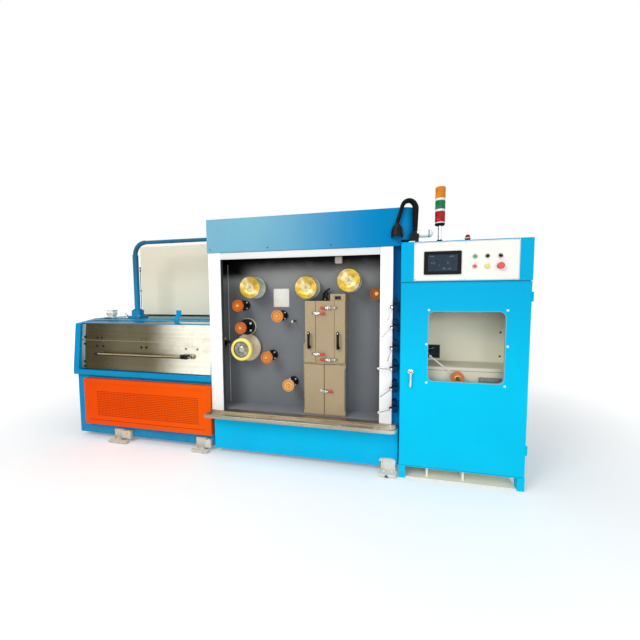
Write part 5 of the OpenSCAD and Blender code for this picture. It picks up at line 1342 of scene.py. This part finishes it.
def tower_light():
    """Stack light: pole, black base, and three fluted lenses between white rings."""
    p = Piece()
    x, y = X_SPOOL + 263, Y_SPOOL + 80
    p.lathe((x, y, SPOOL_H), UP, [(0, 0), (30, 0), (30, 4), (26, 6), (20, 6), (18, 20), (12, 20), (12, 118),
                                  (0, 118)],
            ["plastic"] * 6 + ["bright"] * 2, 32)
    p.screws([(a, b, SPOOL_H + 5) for a, b in arc(x, y, 23, (30, 150, 270))], UP, 3.4, "zinc", 3, 10)
    p.lathe((x, y, SPOOL_H + 117), UP, [(0, 0), (22, 0), (31, 4), (34, 8), (34, 16), (0, 16)], "plastic", 40)
    z = SPOOL_H + 133
    for key, low, high in (("red", 9, 73), ("green", 16, 59), ("amber", 17, 76)):
        p.lathe((x, y, z), UP, [(0, 0), (31, 0), (32.5, 2), (32.5, low - 2), (31, low), (0, low)],
                "white_plastic", 40)
        z += low
        n = 96
        mid = high / 2
        levels = [(0, 0.94), (2, 1.0), (mid - 4, 1.0), (mid - 2, 0.965), (mid + 2, 0.965), (mid + 4, 1.0),
                  (high - 2, 1.0), (high, 0.94)]
        flutes = [(34.0 if a % 4 < 2 else 32.8) for a in range(n)]
        p.loft([[(x + r * k * a, y + r * k * b, z + t) for r, (a, b) in zip(flutes, circle(1, n))]
                for t, k in levels], key, first=True, last=True)
        z += high
    p.lathe((x, y, z - 1), UP, [(0, 0), (31, 0), (30, 3), (22, 5), (0, 5)], "white_plastic", 40)
    p.done("stack_light", "frame", ["tower_light"])


def beacon():
    """Small red lamp on the spooler's roof."""
    p = Piece()
    c = (X_SPOOL + 444, Y_SPOOL + 60, SPOOL_H)
    p.lathe(c, UP, [(0, 0), (20, 0), (20, 6), (18, 8), (18, 16), (20, 18), (20, 22), (17, 22), (16, 26),
                    (15.5, 34),
                    (13, 41), (8, 45), (0, 46)],
            ["plastic"] * 5 + ["white_plastic"] * 2 + ["red"] * 5, 32)
    p.done("beacon", "frame", ["roof_beacon"])


# Spooler cabinet
BLOCK_X0, BLOCK_X1, BLOCK_Z0, BLOCK_Z1 = 1640, 1788, 700, 757
VENT_X, VENT_ZS = 1850, (1056, 868)
PANE_SCREWS = ((1281, 1241), (1782, 1241), (1268, 998), (1788, 998), (1272, 724), (1779, 724))
DOOR_TOP, HANDLE_X, HANDLE_Z = 1428, X_SPOOL + 74, 797


def inner_cabinet():
    """Cream inside: lining, rear wall with its dark recess, ledge, steel rod and grey block."""
    p = Piece()
    x0, x1 = X_SPOOL + 25, X_END - 25
    z0, z1 = LEG_H + 25, SPOOL_H - 25
    back = INNER_BACK
    rx0, rx1, rz0, rz1 = REC_X0, REC_X1, REC_Z0, REC_Z1
    front = Y_SHELL + 2
    for sheet in ((x0, x0 + 2, front, back + 18, z0, z1), (x1 - 2, x1, front, back + 18, z0, z1),
                  (x0 + 2, x1 - 2, front, back + 18, z1 - 2, z1),
                  (x0 + 2, x1 - 2, front, LEDGE_Y, z0, z0 + 2),
                  (x0, rx0, back, back + 20, z0, z1), (rx1, x1, back, back + 20, z0, z1),
                  (rx0, rx1, back, back + 20, z0, rz0), (rx0, rx1, back, back + 20, rz1, z1)):
        p.box(*sheet, "inner", 0.5, 1)
    p.box(rx0 - 1, rx1 + 1, back + 8, back + 20, rz0 - 1, rz1 + 1, "recess", 1, 1)
    p.ring_rect(rx0 - 3, rx1 + 3, rz0 - 3, rz1 + 3, 5, back - 1.5, back + 2, "seam_pale")
    p.box(rx0 + 14, rx0 + 46, back + 2, back + 9, rz0 + 48, rz0 + 92, "zinc", 2)
    p.box(rx0 + 84, rx0 + 118, back + 4, back + 9, rz0 + 16, rz0 + 34, "plastic", 2)
    p.rod((rx0 + 66, back + 8, rz0 + 70), (rx0 + 100, back - 14, rz0 + 82), 4, "bright", 14)
    p.box(x0 + 2, x1 - 2, LEDGE_Y, back, z0, LEDGE_Z, "ledge", 4, 3)
    p.box(x0 + 2, x1 - 2, LEDGE_Y - 1.5, LEDGE_Y + 2, LEDGE_Z - 26, LEDGE_Z - 23, "seam_pale", 0.5, 1)
    arm = Vector((ARM_X, 0, ARM_Z))
    hub = Vector((INNER_X, 0, INNER_Z))
    way = (arm - hub).normalized()
    a = Vector((arm.x, LEDGE_Y - 8, arm.z))
    b = Vector((hub.x, LEDGE_Y - 8, hub.z)) + way * 22
    p.rod(a + way * 6, b, 5.2, "white_plastic", 18)
    p.rod((arm.x, LEDGE_Y - 14, arm.z), (arm.x, back + 10, arm.z), 5, "steel", 18)
    p.lathe((arm.x, LEDGE_Y - 14, arm.z), BACK, [(0, 0), (7, 0), (9, 2), (9, 12), (7, 14), (0, 14)], "zinc",
            20)
    p.box(BLOCK_X0, BLOCK_X1, LEDGE_Y - 30, LEDGE_Y, BLOCK_Z0, BLOCK_Z1, "grey_block", 4, 3)
    for x in (BLOCK_X0 + 15, BLOCK_X1 - 15):
        p.screw((x, LEDGE_Y - 30, BLOCK_Z1 - 15), FRONT, 5, "zinc", 2, 12)
    for z in VENT_ZS:
        p.lathe((VENT_X, back, z), FRONT, [(0, 2), (5, 2), (8, 0.5), (8, 0), (0, 0)], "socket", 16)
    p.done("inner_cabinet", "frame", ["spooler_inside"])


def door_trim():
    """Gasket, pane screws and the pressed edge of the glazed door."""
    p = Piece()
    x0, x1 = X_SPOOL + WIN_X, X_SPOOL + WIN_X + WIN_W
    z0, z1 = WIN_Z, WIN_Z + WIN_H
    p.ring_round(x0, x1, z0, z1, WIN_R, 2.5, Y_SPOOL + 1, Y_SPOOL + 23, "gasket")
    for x, z in PANE_SCREWS:
        p.lathe((x, Y_SPOOL, z), FRONT, [(0, 3), (6, 2.6), (8, 1), (8, 0), (0, 0)], "white_plastic", 20)
    p.box(X_SPOOL + 8, X_END - 8, Y_SPOOL - 0.4, Y_SPOOL + 1, DOOR_TOP, DOOR_TOP + 2, "cyan_dark", 0.2, 1)
    p.done("door_trim", "spooler_door")


def door_lever():
    """Chrome lever hanging from its round seat."""
    p = Piece()
    x, z = HANDLE_X, HANDLE_Z
    p.lathe((x, Y_SPOOL - 1, z), FRONT, [(0, 0), (20, 0), (21, 2), (19, 7), (12, 10), (9, 16), (0, 16)],
            "bright", 36)
    p.rod((x, Y_SPOOL + 17, z), (x, Y_SPOOL - 16, z), 6.9, "steel", 24)
    bend = [(0, 20, 12, 6), (0, 21, 6, 10.5), (0, 21, -8, 11.5), (1, 19, -34, 8.5), (1, 18, -66, 8.2),
            (0, 18, -92, 9.5), (-1, 18, -106, 8.5), (-1, 18, -112, 4)]
    p.tube([(x + dx, Y_SPOOL - dy, z + dz) for dx, dy, dz, r in bend], [r for dx, dy, dz, r in bend],
           "bright", 24)
    p.lathe((x, Y_SPOOL - 31, z), FRONT, [(0, 2), (4, 1.6), (5, 0), (0, 0)], "socket", 16)
    p.done("door_lever", body_of("door_handle"), ["door_handle"])


def inner_pulley():
    """Orange dancer pulley inside the spooler cabinet."""
    p = Piece()
    centre = (INNER_X, LEDGE_Y - 46, INNER_Z)
    R = INNER_R
    dark, soft = "brass_dark", "pulley_soft"
    p.steps(centre, [
        (0, -2, dark), (6, -2, dark), (7, -3, "socket"), (12, -3, "socket"), (13, 3, "pulley_core"),
        (20, 4, soft),
        (R - 13, 4, soft), (R - 9, 0.5, soft), (R - 1, 0, soft), (R, 1.2, soft), (R - 8, 10, soft),
        (R - 8, 12, soft), (R, 20.8, soft), (R - 1, 22, soft), (14, 22, "steel"), (14, 28, "steel"),
        (9, 28, "steel"), (9, 70, "steel"), (0, 70, "steel")], 56)
    p.done("dancer_pulley", "spooler_pulley", ["spooler_pulley"], 28, centre)


def fascia():
    """Plate screws, the touch panel and the row of operators."""
    p = Piece()
    x0, z0 = PANEL_X, PANEL_Z
    for dx in (9, 333, 657):
        for dz in (9, 255):
            p.screw((x0 + dx, Y_SPOOL - 3, z0 + dz), FRONT, 4.2, "zinc", 2, 14)
    p.ring_rect(x0 + 3.5, x0 + 662.5, z0 + 3.5, z0 + 260.5, 1.6, Y_SPOOL - 3.4, Y_SPOOL - 2, "seam_pale")
    p.box(X_SPOOL + 2, X_END - 2, Y_SPOOL - 0.3, Y_SPOOL + 1, SPOOL_H - 6, SPOOL_H - 4.5, "cyan_dark", 0.2, 1)
    p.done("plate_screws", "frame")

    p = Piece()
    hx, hz = x0 + 65, z0 + 41
    w, h = 243, 159
    y = Y_SPOOL - 3
    p.loft([rect3(hx, hx + w, hz, hz + h, y, 6, 5), rect3(hx, hx + w, hz, hz + h, y - 8, 6, 5),
            rect3(hx + 2, hx + w - 2, hz + 2, hz + h - 2, y - 10, 6, 5),
            rect3(hx + 24, hx + w - 22, hz + 20, hz + h - 22, y - 10, 2, 5),
            rect3(hx + 26, hx + w - 24, hz + 22, hz + h - 24, y - 8.5, 2, 5)], "bezel", first=True)
    sx0, sx1, sz0, sz1 = hx + 26, hx + w - 24, hz + 22, hz + h - 24
    p.box(sx0, sx1, y - 8.6, y - 4, sz0, sz1, "screen", 0.2, 1)
    sw, sh = sx1 - sx0, sz1 - sz0
    for a, b, c, d in ((0.10, 0.16, 0.46, 0.54), (0.20, 0.24, 0.42, 0.58), (0.36, 0.39, 0.30, 0.42),
                       (0.50, 0.60, 0.10, 0.22), (0.66, 0.78, 0.10, 0.18), (0.72, 0.86, 0.84, 0.92),
                       (0.64, 0.70, 0.46, 0.54), (0.04, 0.20, 0.88, 0.94)):
        p.box(sx0 + a * sw, sx0 + b * sw, y - 8.9, y - 8.4, sz0 + c * sh, sz0 + d * sh, "screen_lit", 0.1, 1)
    p.done("touch_screen", "frame", ["hmi_panel"])

    p = Piece()
    cols = [hx + w + 84, hx + w + 161, hx + w + 241]
    low, high = hz + 51, hz + 118
    rows = [(cols[0], high, "green_cap"), (cols[1], high, "plastic"), (cols[0], low, "red_cap"),
            (cols[1], low, "yellow_cap")]
    for x, z, cap in rows:
        p.lathe((x, y, z), FRONT, [(0, 0), (17, 0), (17, 5), (15, 8), (12.5, 8), (12.5, 6), (12, 6), (12, 10),
                                   (10, 12), (0, 12.4)],
                ["bezel_ring"] * 6 + [cap] * 3, 36)
    x = cols[2]
    p.lathe((x, y, high), FRONT, [(0, 0), (17, 0), (17, 5), (15, 8), (12.5, 8), (12, 9), (0, 9)],
            ["bezel_ring"] * 4 + ["plastic"] * 2, 36)
    turn = turned_to((x, 0, high), -40)
    p.box(-4, 4, y - 23, y - 8, -12, 15, "plastic", 2.5, 3, turn)
    p.box(-1, 1, y - 23.6, y - 22, 4, 13, "white_plastic", 0.3, 1, turn)
    p.lathe((x, y, low), FRONT, [(0, 0), (19, 0), (19, 3), (13, 4), (13, 19), (17, 20), (21.5, 22),
                                 (22, 25), (20, 29),
                                 (14, 31), (0, 31.5)],
            ["plastic"] * 4 + ["red_cap"] * 6, 40)
    p.done("operators", "frame", ["control_buttons"])


def valve_strip():
    """Strip between the white frame and the spooler cabinet, in a darker blue as painted shade."""
    p = Piece()
    p.box(X_STRIP + 1, X_SPOOL - 1, STRIP_Y - 1.5, STRIP_Y + 1, TRAY_Z + 2, HEAD_Z - 2, "deep", 0.4, 1)
    p.done("valve_strip", "frame")


work_lamp()
tube_lamp()
tower_light()
beacon()
inner_cabinet()
door_trim()
door_lever()
inner_pulley()
fascia()
valve_strip()


# Floor, light and background
def floor():
    """Pale studio floor that brightens away from the machine, to the camera and in mirrors only."""
    bm = bmesh.new()
    bmesh.ops.create_grid(bm, x_segments=2, y_segments=2, size=40)
    mesh = bpy.data.meshes.new("floor")
    bm.to_mesh(mesh)
    bm.free()
    obj = bpy.data.objects.new("floor", mesh)
    bpy.context.scene.collection.objects.link(obj)
    n = Nodes("floor_paint")
    n.set(color=n.mix(n.span(n.noise(0.7, 4), 0.3, 0.7, 0, 1), (0.80, 0.80, 0.79), (0.84, 0.84, 0.83)),
          rough=0.9,
          spec=0.1)
    glow = n.new("ShaderNodeEmission")
    away = n.new("ShaderNodeVectorMath", operation="LENGTH")
    n.put(away.inputs[0], n.coord)
    n.put(glow.inputs["Strength"], n.span(away.outputs["Value"], 1.6, 6.0, *FLOOR_GLOW, True))
    add = n.new("ShaderNodeAddShader")
    both = n.new("ShaderNodeMixShader")
    light = n.new("ShaderNodeLightPath")
    seen = n.math("MAXIMUM", light.outputs["Is Camera Ray"], light.outputs["Is Glossy Ray"])
    out = n.tree.nodes["Material Output"]
    n.tree.links.new(n.bsdf.outputs[0], add.inputs[0])
    n.tree.links.new(glow.outputs[0], add.inputs[1])
    n.tree.links.new(seen, both.inputs[0])
    n.tree.links.new(n.bsdf.outputs[0], both.inputs[1])
    n.tree.links.new(add.outputs[0], both.inputs[2])
    n.tree.links.new(both.outputs[0], out.inputs["Surface"])
    mesh.materials.append(n.mat)


def lamp(name, place, aim, size, power):
    """Area light at a place, turned to what it lights."""
    data = bpy.data.lights.new(name, "AREA")
    data.shape, data.size, data.size_y, data.energy = "RECTANGLE", size[0], size[1], power
    obj = bpy.data.objects.new(name, data)
    bpy.context.scene.collection.objects.link(obj)
    way = (Vector(aim) - Vector(place)).to_track_quat("-Z", "Y")
    obj.matrix_world = Matrix.Translation(Vector(place)) @ way.to_matrix().to_4x4()


def world():
    """White to the camera, in mirrors and through glass, and a cooler fill for everything else."""
    w = bpy.data.worlds.new("world")
    bpy.context.scene.world = w
    w.use_nodes = True
    t = w.node_tree
    t.nodes.clear()
    shades = []
    for color, strength in (((0.94, 0.97, 1.0, 1), WORLD_FILL), ((1, 1, 1, 1), 1.0)):
        n = t.nodes.new("ShaderNodeBackground")
        n.inputs["Color"].default_value = color
        n.inputs["Strength"].default_value = strength
        shades.append(n.outputs[0])
    path = t.nodes.new("ShaderNodeLightPath")
    seen = path.outputs["Is Camera Ray"]
    for ray in ("Is Glossy Ray", "Is Transmission Ray"):
        either = t.nodes.new("ShaderNodeMath")
        either.operation = "MAXIMUM"
        t.links.new(seen, either.inputs[0])
        t.links.new(path.outputs[ray], either.inputs[1])
        seen = either.outputs[0]
    pick = t.nodes.new("ShaderNodeMixShader")
    for source, sock in zip([seen] + shades, pick.inputs):
        t.links.new(source, sock)
    out = t.nodes.new("ShaderNodeOutputWorld")
    t.links.new(pick.outputs[0], out.inputs["Surface"])


WORLD_FILL, FLOOR_GLOW = 0.50, (0.2, 0.75)
floor()
lamp("key", (-1.5, -4.4, 3.8), (0, 0, 1.0), (2.2, 2.2), 120)
lamp("fill", (3.2, -4.6, 2.4), (0.4, 0, 0.9), (2.6, 2.6), 34)
lamp("front", (1.6, -4.6, 0.9), (1.3, 0, 0.8), (2.0, 0.9), 21)
lamp("top", (0.2, -1.2, 5.2), (0, 0, 0.8), (3.5, 2.5), 50)
world()
bpy.context.scene.view_settings.view_transform = "Standard"
